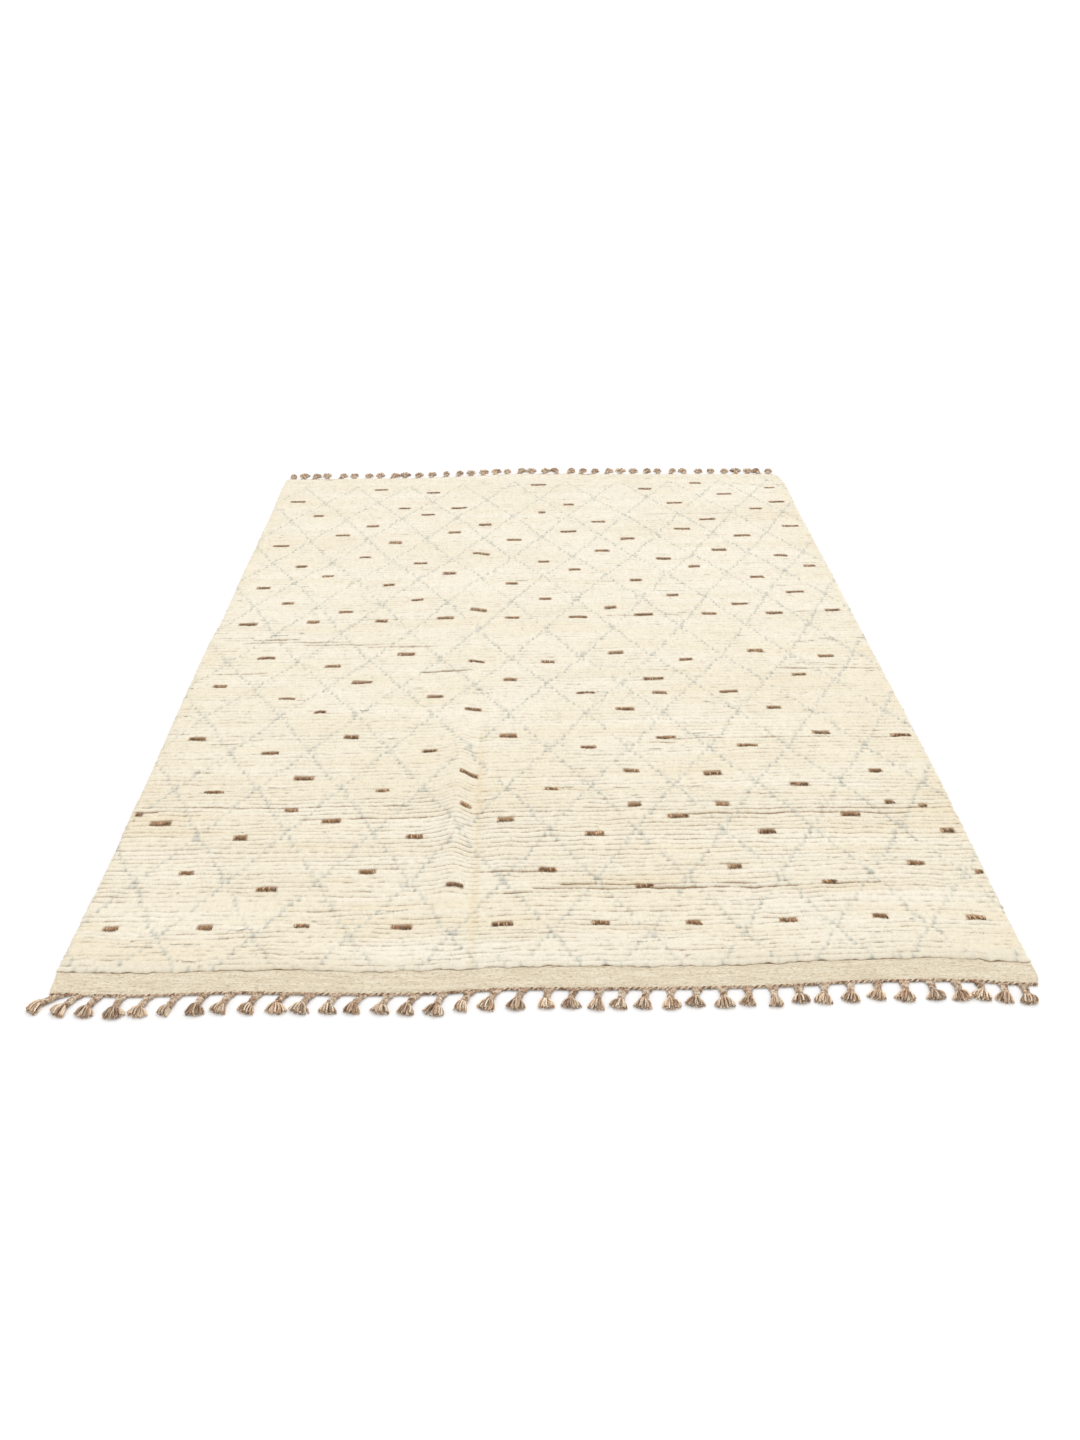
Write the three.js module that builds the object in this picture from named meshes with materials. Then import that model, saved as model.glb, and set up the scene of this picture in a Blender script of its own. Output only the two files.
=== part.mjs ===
// A hand-knotted wool pile rug lying flat, with a flat-woven band and a row of short tassels at each end.
// Millimetres. +Z is up, +Y runs along the rug, and the origin is the centre of its underside.
import * as THREE from 'three';

// Driving dimensions of the cloth
const CLOTH_WIDTH = 2000;
const CLOTH_LENGTH = 3000;
const NEAR_BAND = 60;
const FAR_BAND = 16;
const BAND_THICKNESS = 5;
const BAND_LIP = 4.2;
const LIP_WIDTH = 12;
const PILE_STEP = 2;
const ROW_PITCH = 16.9;
const PILE_CREST = 16;
const PILE_VALLEY = 11.2;
const ROW_UNEVENNESS = 1;
const ROW_WANDER = 1.5;
const VALLEY_SHARE = 0.1;
const CREST_SHARE = 0.55;
const SIDE_KNOT_HEIGHT = 9;
const SIDE_KNOT_WIDTH = 15;
const BEND_FADE = 450;
const UNDERSIDE_SHARE = 0.85;
const UNDERSIDE_STEP = 12;

// Driving dimensions of the twined strip and the tassels
const TASSELS_PER_END = 39;
const CLOTH_GAP = 0.6;
const STRIP_WIDTH = 7;
const ROOT_BULGE = 4;
const STRIP_HEIGHT = 7;
const STRIP_LIP = 5;
const ROOT_WIDTH = 22;
const NEAR_CORNER_BARE = 12;
const FAR_CORNER_BARE = 0;
const TOP_SHARE = 0.62;
const TASSEL_LENGTH = 53;
const TASSEL_UNEVENNESS = 4;
const TURN_UNEVENNESS = 6;
const TUFT_SPACING = 41;

// Where each side edge lies outside the half width, from the near end to the far end
const SIDE_EDGES = [
  { along: 0, left: -2, right: -1 },
  { along: 12, left: 0, right: 5 },
  { along: 25, left: 0, right: 7 },
  { along: 60, left: 1, right: 5 },
  { along: 80, left: -2, right: 0 },
  { along: 250, left: -5, right: 1 },
  { along: 450, left: -9, right: 5 },
  { along: 600, left: -5, right: 8 },
  { along: 750, left: -8, right: 10 },
  { along: 1200, left: -2, right: 10 },
  { along: 1500, left: -1, right: 9 },
  { along: 1700, left: -9, right: 8 },
  { along: 2000, left: -6, right: 9 },
  { along: 2550, left: -9, right: 5 },
  { along: 2870, left: -5, right: 9 },
  { along: 2950, left: -5, right: 0 },
  { along: 3000, left: -6, right: -16 },
];

// How far each woven end lies beyond its straight line, from the left side to the right side
const END_LINES = [
  { across: -1000, near: -2, far: -32 },
  { across: -850, near: 6, far: -30 },
  { across: -620, near: 1, far: -29 },
  { across: -440, near: 8, far: -27 },
  { across: -240, near: 11, far: -6 },
  { across: -90, near: 1, far: 10 },
  { across: 150, near: 3, far: 6 },
  { across: 450, near: 2, far: -5 },
  { across: 700, near: -10, far: -10 },
  { across: 860, near: -7, far: -13 },
  { across: 1000, near: 6, far: -15 },
];

// Lines of points across the cloth: the side knots, the foot and crest of each soft fold, and the middles
const COLUMNS = [
  { across: -CLOTH_WIDTH / 2, fold: 0, swell: 0 },
  { across: -CLOTH_WIDTH / 2 + SIDE_KNOT_WIDTH, fold: 0, swell: 0 },
  { across: -440, fold: 0, swell: 0 },
  { across: -280, fold: 0, swell: 0 },
  { across: -200, fold: 1, swell: 0 },
  { across: -165, fold: -0.15, swell: 0 },
  { across: -90, fold: 0, swell: 0 },
  { across: 350, fold: 0, swell: 0 },
  { across: 700, fold: 0, swell: 1 },
  { across: 860, fold: 0, swell: 0.4 },
  { across: CLOTH_WIDTH / 2 - SIDE_KNOT_WIDTH, fold: 0, swell: 0 },
  { across: CLOTH_WIDTH / 2, fold: 0, swell: 0 },
];

// Height of the long fold line and of the low swell to its right, from the near end to the far end
const FOLD_HEIGHTS = [
  { along: 100, fold: 0, swell: 0 },
  { along: 220, fold: 5, swell: 3 },
  { along: 480, fold: 14, swell: 4 },
  { along: 860, fold: 14, swell: 3 },
  { along: 1020, fold: 7, swell: 0 },
  { along: 1500, fold: 4, swell: 0 },
  { along: 2300, fold: 3, swell: 0 },
  { along: 2450, fold: 0, swell: 0 },
];

// Where the pile parts more deeply between two rows
const PARTINGS = [
  { along: 304, from: -100, to: 720, depth: 3 },
  { along: 624, from: -990, to: 990, depth: 3 },
  { along: 921, from: 340, to: 990, depth: 2.5 },
  { along: 1550, from: -990, to: -270, depth: 3.5 },
];

// The braided stem of a tassel, from its root outwards; the last row is the neck where it forks
const STEM = [
  { reach: 6, width: 17, height: 9, sway: 1 },
  { reach: 13, width: 14, height: 12, sway: -1 },
  { reach: 21, width: 17, height: 13, sway: 1 },
  { reach: 29, width: 14, height: 11, sway: 0 },
];

// The three locks of a tuft beyond the neck, which spread as they go
const LOCK = [
  { reach: 40, width: 11.5, height: 14, spread: 12 },
  { reach: 51, width: 10.5, height: 9, spread: 13.6 },
];
const MIDDLE_LOCK_EXTRA = 3;

// Turn of the near tassels in degrees and their share of the full length, by the place of the root
const NEAR_LAY = [
  { across: -975, turn: -56, share: 1.2, pairing: 0 },
  { across: -935, turn: -26, share: 1.05, pairing: 0 },
  { across: -860, turn: -15, share: 1.05, pairing: 0 },
  { across: -680, turn: -11, share: 1.05, pairing: 0 },
  { across: -420, turn: -24, share: 1, pairing: 0 },
  { across: 0, turn: -16, share: 1, pairing: 0 },
  { across: 450, turn: -8, share: 0.94, pairing: 0 },
  { across: 1000, turn: -8, share: 1, pairing: 0 },
];

// The far tassels lie in loose pairs to the left and more evenly to the right
const FAR_LAY = [
  { across: -1000, turn: 4, share: 0.9, pairing: 8 },
  { across: 0, turn: 6, share: 0.95, pairing: 6 },
  { across: 200, turn: 8, share: 1, pairing: 1 },
  { across: 1000, turn: 6, share: 0.95, pairing: 1 },
];

// Reads one named column of a table between its rows
function readTable(table, key, place, column) {
  if (place <= table[0][key]) {
    return table[0][column];
  }
  for (let i = 1; i < table.length; i += 1) {
    const before = table[i - 1];
    const after = table[i];
    if (place <= after[key]) {
      const share = (place - before[key]) / (after[key] - before[key]);
      return THREE.MathUtils.lerp(before[column], after[column], share);
    }
  }
  return table[table.length - 1][column];
}

// A repeatable uneven value from -1 to 1
function uneven(index, salt) {
  const value = Math.sin(index * 12.9898 + salt * 78.233) * 43758.5453;
  return (value - Math.floor(value)) * 2 - 1;
}

function sideways(across, along) {
  const side = across < 0 ? -1 : 1;
  const edge = readTable(SIDE_EDGES, 'along', along, across < 0 ? 'left' : 'right');
  const pull = (Math.abs(across) / (CLOTH_WIDTH / 2)) ** 3;
  return across + side * edge * pull;
}

function lengthways(across, along) {
  const nearFade = Math.max(0, 1 - along / BEND_FADE);
  const farFade = Math.max(0, 1 - (CLOTH_LENGTH - along) / BEND_FADE);
  const near = readTable(END_LINES, 'across', across, 'near') * nearFade;
  const far = readTable(END_LINES, 'across', across, 'far') * farFade;
  return along - CLOTH_LENGTH / 2 - near + far;
}

function lift(column, along) {
  const fold = column.fold * readTable(FOLD_HEIGHTS, 'along', along, 'fold');
  const swell = column.swell * readTable(FOLD_HEIGHTS, 'along', along, 'swell');
  return fold + swell;
}

// Collects corner points and faces, and turns them into one closed body
class Shell {
  constructor() {
    this.points = [];
    this.faces = [];
  }

  point(x, y, z) {
    this.points.push(x, y, z);
    return this.points.length / 3 - 1;
  }

  triangle(a, b, c) {
    this.faces.push(a, b, c);
  }

  quad(a, b, c, d) {
    this.triangle(a, b, c);
    this.triangle(a, c, d);
  }

  geometry(flipped) {
    const faces = flipped ? this.faces.slice().reverse() : this.faces;
    const geometry = new THREE.BufferGeometry();
    geometry.setAttribute('position', new THREE.Float32BufferAttribute(this.points, 3));
    geometry.setIndex(faces);
    geometry.computeVertexNormals();
    return geometry;
  }
}

// Lines of the cloth from end to end: the near band, a valley and a crest for each pile row, the far band
function clothLines() {
  const lines = [
    { along: 0, height: BAND_LIP, piled: false },
    { along: LIP_WIDTH, height: BAND_THICKNESS, piled: false },
    { along: NEAR_BAND - PILE_STEP, height: BAND_THICKNESS, piled: false },
  ];
  const pileEnd = CLOTH_LENGTH - FAR_BAND;
  const rows = Math.round((pileEnd - NEAR_BAND) / ROW_PITCH);
  const pitch = (pileEnd - NEAR_BAND) / rows;
  for (let row = 0; row < rows; row += 1) {
    const start = NEAR_BAND + row * pitch;
    const crest = PILE_CREST + ROW_UNEVENNESS * uneven(row, 1);
    const valley = PILE_VALLEY + ROW_UNEVENNESS * uneven(row, 2);
    lines.push({ along: start + pitch * VALLEY_SHARE, height: valley, piled: true, valley: true });
    lines.push({ along: start + pitch * CREST_SHARE, height: crest, piled: true });
  }
  lines.push({ along: pileEnd, height: PILE_VALLEY, piled: true });
  lines.push({ along: pileEnd + PILE_STEP, height: BAND_THICKNESS, piled: false });
  lines.push({ along: CLOTH_LENGTH - LIP_WIDTH, height: BAND_THICKNESS, piled: false });
  lines.push({ along: CLOTH_LENGTH, height: BAND_LIP, piled: false });
  return { lines, pitch };
}

function topHeight(line, column, isEdge, pitch) {
  let height = line.height;
  if (line.piled && isEdge) {
    height = Math.min(height, SIDE_KNOT_HEIGHT);
  }
  for (const parting of PARTINGS) {
    const near = Math.abs(line.along - parting.along) < pitch / 2;
    if (line.valley && near && column.across > parting.from && column.across < parting.to) {
      height -= parting.depth;
    }
  }
  return height + lift(column, line.along);
}

// The whole cloth as one solid: ribbed pile, thin end bands, and an underside that lies flat but for the fold
function makeRugBody() {
  const shell = new Shell();
  const { lines, pitch } = clothLines();
  const last = COLUMNS.length - 1;

  const top = lines.map((line, row) => COLUMNS.map((column, i) => {
    const isEdge = i === 0 || i === last;
    const wave = line.piled ? ROW_WANDER * uneven(row, 3 + i) : 0;
    const x = sideways(column.across, line.along);
    const y = lengthways(column.across, line.along) + wave;
    return shell.point(x, y, topHeight(line, column, isEdge, pitch));
  }));

  const restRows = [];
  for (let row = 0; row < lines.length - 1; row += UNDERSIDE_STEP) {
    restRows.push(row);
  }
  restRows.push(lines.length - 1);
  const under = restRows.map((row) => COLUMNS.map((column) => {
    const { along } = lines[row];
    const height = Math.max(0, UNDERSIDE_SHARE * lift(column, along));
    return shell.point(sideways(column.across, along), lengthways(column.across, along), height);
  }));

  for (let row = 1; row < top.length; row += 1) {
    for (let i = 1; i <= last; i += 1) {
      shell.quad(top[row - 1][i - 1], top[row - 1][i], top[row][i], top[row][i - 1]);
    }
  }
  for (let block = 1; block < under.length; block += 1) {
    for (let i = 1; i <= last; i += 1) {
      shell.quad(under[block][i - 1], under[block][i], under[block - 1][i], under[block - 1][i - 1]);
    }
    sewSide(shell, top, under, restRows, block, 0);
    sewSide(shell, top, under, restRows, block, last);
  }
  for (let i = 1; i <= last; i += 1) {
    const farRow = top.length - 1;
    const farBlock = under.length - 1;
    shell.quad(under[0][i - 1], under[0][i], top[0][i], top[0][i - 1]);
    shell.quad(under[farBlock][i], under[farBlock][i - 1], top[farRow][i - 1], top[farRow][i]);
  }
  return shell.geometry(false);
}

// One stretch of a side wall, from many points on the top edge down to the two below it
function sewSide(shell, top, under, restRows, block, column) {
  const start = restRows[block - 1];
  const end = restRows[block];
  const middle = Math.round((start + end) / 2);
  const below = [under[block - 1][column], under[block][column]];
  const wall = (a, b, c) => (column === 0 ? shell.triangle(a, c, b) : shell.triangle(a, b, c));
  for (let row = start; row < end; row += 1) {
    wall(below[row < middle ? 0 : 1], top[row + 1][column], top[row][column]);
  }
  wall(below[0], below[1], top[middle][column]);
}

// Roots are spaced by hand: closer at the two ends, a little uneven between
function rootPlaces(salt, left, right) {
  const places = [];
  let reach = 0;
  for (let i = 0; i < TASSELS_PER_END; i += 1) {
    const fromEnd = Math.min(i, TASSELS_PER_END - 1 - i);
    const crowding = Math.min(1, 0.72 + 0.09 * fromEnd);
    const step = crowding * (1 + 0.09 * uneven(i, salt));
    places.push(reach + step / 2);
    reach += step;
  }
  return places.map((place) => left + (place / reach) * (right - left));
}

// Root, length and turn of every tassel at one end, with the tufts kept apart
function layTassels(end) {
  let tipBefore = -Infinity;
  return rootPlaces(end.salt, end.left, end.right - end.bare).map((root, i) => {
    const pairing = readTable(end.lay, 'across', root, 'pairing') * (i % 2 === 0 ? 1 : -1);
    const loose = TURN_UNEVENNESS * uneven(i, end.salt + 1);
    const degrees = readTable(end.lay, 'across', root, 'turn') + pairing + loose;
    const share = readTable(end.lay, 'across', root, 'share');
    const length = share * TASSEL_LENGTH + TASSEL_UNEVENNESS * uneven(i, end.salt + 2);
    const wished = root + length * Math.sin(THREE.MathUtils.degToRad(degrees));
    const tip = Math.max(wished, tipBefore + TUFT_SPACING);
    tipBefore = tip;
    return { root, length, turn: Math.asin((tip - root) / length) };
  });
}

// One tassel: a braided stem that grows out of the strip's outer face, then three locks
function growTassel(shell, end, tassel, rootLoop, edgeOut) {
  const scale = tassel.length / TASSEL_LENGTH;
  const rootLine = end.line(tassel.root);
  const place = (reach, side, height) => {
    const squareTo = tassel.turn * Math.min(1, reach / STEM[1].reach);
    const outward = edgeOut + scale * reach * Math.cos(tassel.turn) - side * Math.sin(squareTo);
    const across = tassel.root + scale * reach * Math.sin(tassel.turn) + side * Math.cos(squareTo);
    return shell.point(across, rootLine + end.outward * outward, height);
  };
  const section = ({ reach, width, height }, centre) => [
    place(reach, centre - width / 2, 0),
    place(reach, centre + width / 2, 0),
    place(reach, centre + (width / 2) * TOP_SHARE, height),
    place(reach, centre - (width / 2) * TOP_SHARE, height),
  ];
  const sleeve = (inner, outer) => {
    for (let i = 0; i < inner.length; i += 1) {
      const next = (i + 1) % inner.length;
      shell.quad(inner[i], inner[next], outer[next], outer[i]);
    }
  };

  let loop = rootLoop;
  for (const row of STEM.slice(0, -1)) {
    const outer = section(row, row.sway);
    sleeve(loop, outer);
    loop = outer;
  }

  const neck = STEM[STEM.length - 1];
  const cuts = [-1 / 2, -1 / 6, 1 / 6, 1 / 2];
  const below = cuts.map((cut) => place(neck.reach, cut * neck.width, 0));
  const above = cuts.map((cut) => place(neck.reach, cut * neck.width * TOP_SHARE, neck.height));
  const [bottomLeft, bottomRight, topRight, topLeft] = loop;
  shell.triangle(bottomLeft, below[1], below[0]);
  shell.quad(bottomLeft, bottomRight, below[2], below[1]);
  shell.triangle(bottomRight, below[3], below[2]);
  shell.triangle(topRight, above[2], above[3]);
  shell.quad(topRight, topLeft, above[1], above[2]);
  shell.triangle(topLeft, above[0], above[1]);
  shell.quad(bottomRight, topRight, above[3], below[3]);
  shell.quad(topLeft, bottomLeft, below[0], above[0]);

  for (let side = -1; side <= 1; side += 1) {
    const first = side + 1;
    let lock = [below[first], below[first + 1], above[first + 1], above[first]];
    for (const row of LOCK) {
      const extra = side === 0 ? MIDDLE_LOCK_EXTRA : 0;
      const outer = section({ ...row, reach: row.reach + extra }, side * row.spread);
      sleeve(lock, outer);
      lock = outer;
    }
    shell.quad(...lock);
  }
}

// The twined strip along one end, with every tassel fused to its outer face
function makeFringe(end) {
  const shell = new Shell();
  const tassels = layTassels(end);
  const outerEdge = CLOTH_GAP + STRIP_WIDTH;
  const station = (across, bulge, height) => {
    const line = end.line(across);
    return [
      shell.point(across, line + end.outward * CLOTH_GAP, 0),
      shell.point(across, line + end.outward * (outerEdge + bulge), 0),
      shell.point(across, line + end.outward * (outerEdge + bulge - 1), STRIP_LIP),
      shell.point(across, line + end.outward * CLOTH_GAP, height),
    ];
  };

  const stations = [station(end.left, 0, STRIP_LIP)];
  for (const { root } of tassels) {
    stations.push(station(root - ROOT_WIDTH / 2, ROOT_BULGE, STRIP_LIP));
    stations.push(station(root + ROOT_WIDTH / 2, ROOT_BULGE, STRIP_HEIGHT));
  }
  stations.push(station(end.right, 0, STRIP_LIP));

  for (let k = 1; k < stations.length; k += 1) {
    const [innerA, outerA, lipA, topA] = stations[k - 1];
    const [innerB, outerB, lipB, topB] = stations[k];
    const hasTassel = k % 2 === 0 && k < stations.length - 1;
    shell.quad(outerB, outerA, innerA, innerB);
    shell.quad(lipA, lipB, topB, topA);
    shell.quad(innerB, innerA, topA, topB);
    if (hasTassel) {
      const rootLoop = [outerA, outerB, lipB, lipA];
      growTassel(shell, end, tassels[k / 2 - 1], rootLoop, outerEdge + ROOT_BULGE);
    } else {
      shell.quad(outerA, outerB, lipB, lipA);
    }
  }
  const [firstInner, firstOuter, firstLip, firstTop] = stations[0];
  const [lastInner, lastOuter, lastLip, lastTop] = stations[stations.length - 1];
  shell.quad(firstInner, firstOuter, firstLip, firstTop);
  shell.quad(lastTop, lastLip, lastOuter, lastInner);
  return shell.geometry(end.outward > 0);
}

// What the fringe needs to know about an end: its side limits, the length left bare at its right corner,
// and the cloth's own edge, corner by corner
function describeEnd(along, outward, salt, lay, bare) {
  const edge = COLUMNS.map(({ across }) => ({
    x: sideways(across, along),
    y: lengthways(across, along),
  }));
  return {
    salt,
    outward,
    lay,
    bare,
    left: edge[0].x,
    right: edge[edge.length - 1].x,
    line: (x) => readTable(edge, 'x', x, 'y'),
  };
}

const nearEnd = describeEnd(0, -1, 11, NEAR_LAY, NEAR_CORNER_BARE);
const farEnd = describeEnd(CLOTH_LENGTH, 1, 29, FAR_LAY, FAR_CORNER_BARE);

const woolCream = new THREE.MeshStandardMaterial({ color: 0xeae0c6, roughness: 0.95, metalness: 0 });
const warpBrown = new THREE.MeshStandardMaterial({ color: 0x9c8068, roughness: 0.9, metalness: 0 });

function addPiece(group, name, geometry, material) {
  const mesh = new THREE.Mesh(geometry, material);
  mesh.name = name;
  group.add(mesh);
}

const rug = new THREE.Group();
addPiece(rug, 'rug_body', makeRugBody(), woolCream);
addPiece(rug, 'fringe_near', makeFringe(nearEnd), warpBrown);
addPiece(rug, 'fringe_far', makeFringe(farEnd), warpBrown.clone());

export default rug;
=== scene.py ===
import math

import bpy
import numpy as np
from mathutils import Matrix, Vector


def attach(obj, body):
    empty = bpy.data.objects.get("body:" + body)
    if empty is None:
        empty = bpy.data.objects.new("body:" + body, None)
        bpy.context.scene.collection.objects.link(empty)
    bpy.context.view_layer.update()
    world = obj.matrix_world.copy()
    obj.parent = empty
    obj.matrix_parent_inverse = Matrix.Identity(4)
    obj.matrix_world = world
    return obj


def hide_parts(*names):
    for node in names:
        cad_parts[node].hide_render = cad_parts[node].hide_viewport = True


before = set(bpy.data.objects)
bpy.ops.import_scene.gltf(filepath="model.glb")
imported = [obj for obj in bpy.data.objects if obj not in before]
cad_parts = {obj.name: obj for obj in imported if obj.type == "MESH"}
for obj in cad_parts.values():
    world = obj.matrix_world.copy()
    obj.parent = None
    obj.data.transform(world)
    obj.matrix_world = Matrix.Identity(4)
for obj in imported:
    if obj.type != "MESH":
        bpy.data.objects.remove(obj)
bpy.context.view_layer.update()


# Woven ground
# One loom-woven cloth of cream wool weft packed hard over the warps. It carries the pile between its
# ends, shows as a flat band at each end, and lies on the floor but for one long soft fold.
CLOTH_WIDTH = 2.0
CLOTH_LENGTH = 3.0
NEAR_BAND = 0.060
FAR_BAND = 0.016
GROUND_TOP = 0.0048
GROUND_LIP = 0.0036
BAND_LUMPS = 0.0005
LUMP_REACH = (0.6, 1.2)
NEAR_BAND_LINES = (0.0, 0.003, 0.010, 0.022, 0.034, 0.048, NEAR_BAND)
FAR_BAND_LINES = (FAR_BAND, 0.008, 0.003, 0.0)
GROUND_COLUMNS = 80
GROUND_STEP = 0.05
BEND_FADE = 0.45
SIDE_PULL = 3
UNDERSIDE_SHARE = 0.85
WEFT_PITCH = 0.0028
WARP_PITCH = 0.0054
SIDE_EDGES = {
    "along": (
        0.0, 0.012, 0.025, 0.06, 0.08, 0.25, 0.45, 0.6, 0.75,
        1.2, 1.5, 1.7, 2.0, 2.55, 2.87, 2.95, 3.0,
    ),
    "left": (
        -0.002, 0.0, 0.0, 0.001, -0.002, -0.005, -0.009, -0.005, -0.008,
        -0.002, -0.001, -0.009, -0.006, -0.009, -0.005, -0.005, -0.006,
    ),
    "right": (
        -0.001, 0.005, 0.007, 0.005, 0.0, 0.001, 0.005, 0.008, 0.010,
        0.010, 0.009, 0.008, 0.009, 0.005, 0.009, 0.0, -0.016,
    ),
}
END_LINES = {
    "across": (-1.0, -0.85, -0.62, -0.44, -0.24, -0.09, 0.15, 0.45, 0.7, 0.86, 1.0),
    "near": (-0.002, 0.006, 0.001, 0.008, 0.011, 0.001, 0.003, 0.002, -0.010, -0.007, 0.006),
    "far": (-0.032, -0.030, -0.029, -0.027, -0.006, 0.010, 0.006, -0.005, -0.010, -0.013, -0.015),
}
FOLD_SECTION = {
    "across": (-0.300, -0.245, -0.200, -0.165, -0.125, -0.090),
    "share": (0.0, 0.40, 1.0, -0.15, -0.06, 0.0),
}
SWELL_SECTION = {"across": (0.35, 0.7, 0.985), "share": (0.0, 1.0, 0.0)}
FOLD_HEIGHTS = {
    "along": (0.1, 0.22, 0.48, 0.86, 1.02, 1.5, 2.3, 2.45),
    "fold": (0.0, 0.005, 0.014, 0.014, 0.007, 0.004, 0.003, 0.0),
    "swell": (0.0, 0.003, 0.004, 0.003, 0.0, 0.0, 0.0, 0.0),
}


def read_curve(table, key, column, place):
    """A soft curve through a table's points, flat beyond its ends."""
    x = np.array(table[key], float)
    y = np.array(table[column], float)
    slope = np.gradient(y, x)
    slope[0] = slope[-1] = 0.0
    place = np.clip(np.asarray(place, float), x[0], x[-1])
    i = np.clip(np.searchsorted(x, place) - 1, 0, len(x) - 2)
    width = x[i + 1] - x[i]
    t = (place - x[i]) / width
    start, end = y[i], y[i + 1]
    return (
        start + (end - start) * t * t * (3 - 2 * t)
        + width * t * (1 - t) * ((1 - t) * slope[i] - t * slope[i + 1])
    )


def read_line(table, key, column, place):
    """Straight lines through a table's points, level beyond its ends."""
    return np.interp(place, table[key], table[column])


def cloth_place(across, along):
    """Where a point of the flat cloth lies: its x and y."""
    left = read_line(SIDE_EDGES, "along", "left", along)
    edge = np.where(across < 0, left, read_line(SIDE_EDGES, "along", "right", along))
    pull = np.abs(across / (CLOTH_WIDTH / 2)) ** SIDE_PULL
    near_fade = np.clip(1 - along / BEND_FADE, 0, 1)
    far_fade = np.clip(1 - (CLOTH_LENGTH - along) / BEND_FADE, 0, 1)
    near = read_curve(END_LINES, "across", "near", across) * near_fade
    far = read_curve(END_LINES, "across", "far", across) * far_fade
    return across + np.sign(across) * edge * pull, along - CLOTH_LENGTH / 2 - near + far


def cloth_lift(across, along):
    """How far the fold and the low swell lift the cloth off the floor."""
    lift = 0.0
    for section, column in ((FOLD_SECTION, "fold"), (SWELL_SECTION, "swell")):
        share = read_curve(section, "across", "share", across)
        lift = lift + share * read_curve(FOLD_HEIGHTS, "along", column, along)
    return lift


def uneven_field(rows, columns, row_reach, column_reach, seed):
    """Soft repeatable unevenness over a grid, with each reach counted in grid steps."""
    noise = np.random.default_rng(seed).standard_normal((rows, columns))
    row_wave = np.fft.fftfreq(rows)[:, None] * row_reach
    column_wave = np.fft.rfftfreq(columns)[None, :] * column_reach
    soften = np.exp(-2 * math.pi ** 2 * (row_wave ** 2 + column_wave ** 2))
    field = np.fft.irfft2(np.fft.rfft2(noise) * soften, s=(rows, columns))
    return field / field.std()


def new_object(name, data):
    """An object at the origin of the scene."""
    made = bpy.data.objects.new(name, data)
    bpy.context.scene.collection.objects.link(made)
    return made


def mesh_piece(name, points, faces):
    """A mesh object at the origin from points and from arrays of faces, one array for each face size."""
    mesh = bpy.data.meshes.new(name)
    mesh.vertices.add(len(points))
    mesh.vertices.foreach_set("co", np.ascontiguousarray(points, np.float32).ravel())
    corners = np.concatenate([group.ravel() for group in faces]).astype(np.int32)
    sizes = np.concatenate([np.full(len(group), group.shape[1]) for group in faces])
    mesh.loops.add(len(corners))
    mesh.loops.foreach_set("vertex_index", corners)
    mesh.polygons.add(len(sizes))
    mesh.polygons.foreach_set("loop_start", (np.cumsum(sizes) - sizes).astype(np.int32))
    mesh.polygons.foreach_set("use_smooth", np.ones(len(sizes), bool))
    mesh.update(calc_edges=True)
    return new_object(name, mesh)


def grid_quads(rows, columns, first):
    """The faces of a grid of points, counted from its first point."""
    start = first + np.arange(rows - 1)[:, None] * columns + np.arange(columns - 1)[None, :]
    return np.stack([start, start + 1, start + columns + 1, start + columns], -1).reshape(-1, 4)


def rim_of(rows, columns):
    """The points round a grid's rim in order, left to right along the near side first."""
    return np.concatenate([
        np.arange(columns - 1),
        np.arange(rows - 1) * columns + columns - 1,
        rows * columns - 1 - np.arange(columns - 1),
        (rows - 1 - np.arange(rows - 1)) * columns,
    ])


def rim_walls(shape, under_rows, under_columns):
    """The wall faces that sew a fine grid's rim to the rim of the coarser grid under it."""
    rows, columns = shape
    right_side = columns - 1
    far_side = right_side + rows - 1
    left_side = far_side + columns - 1
    meets = np.concatenate([
        under_columns[:-1],
        right_side + under_rows[:-1],
        far_side + columns - 1 - under_columns[:0:-1],
        left_side + rows - 1 - under_rows[:0:-1],
    ])
    rim = rim_of(rows, columns)
    low_rim = rows * columns + rim_of(len(under_rows), len(under_columns))
    walls = []
    for i, start in enumerate(meets):
        following = (i + 1) % len(meets)
        end = meets[following] if following else len(rim)
        middle = (start + end) // 2
        walls.append((low_rim[i], low_rim[following], rim[middle]))
        for k in range(start, end):
            below = low_rim[i] if k < middle else low_rim[following]
            walls.append((below, rim[(k + 1) % len(rim)], rim[k]))
    return np.array(walls)


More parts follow.
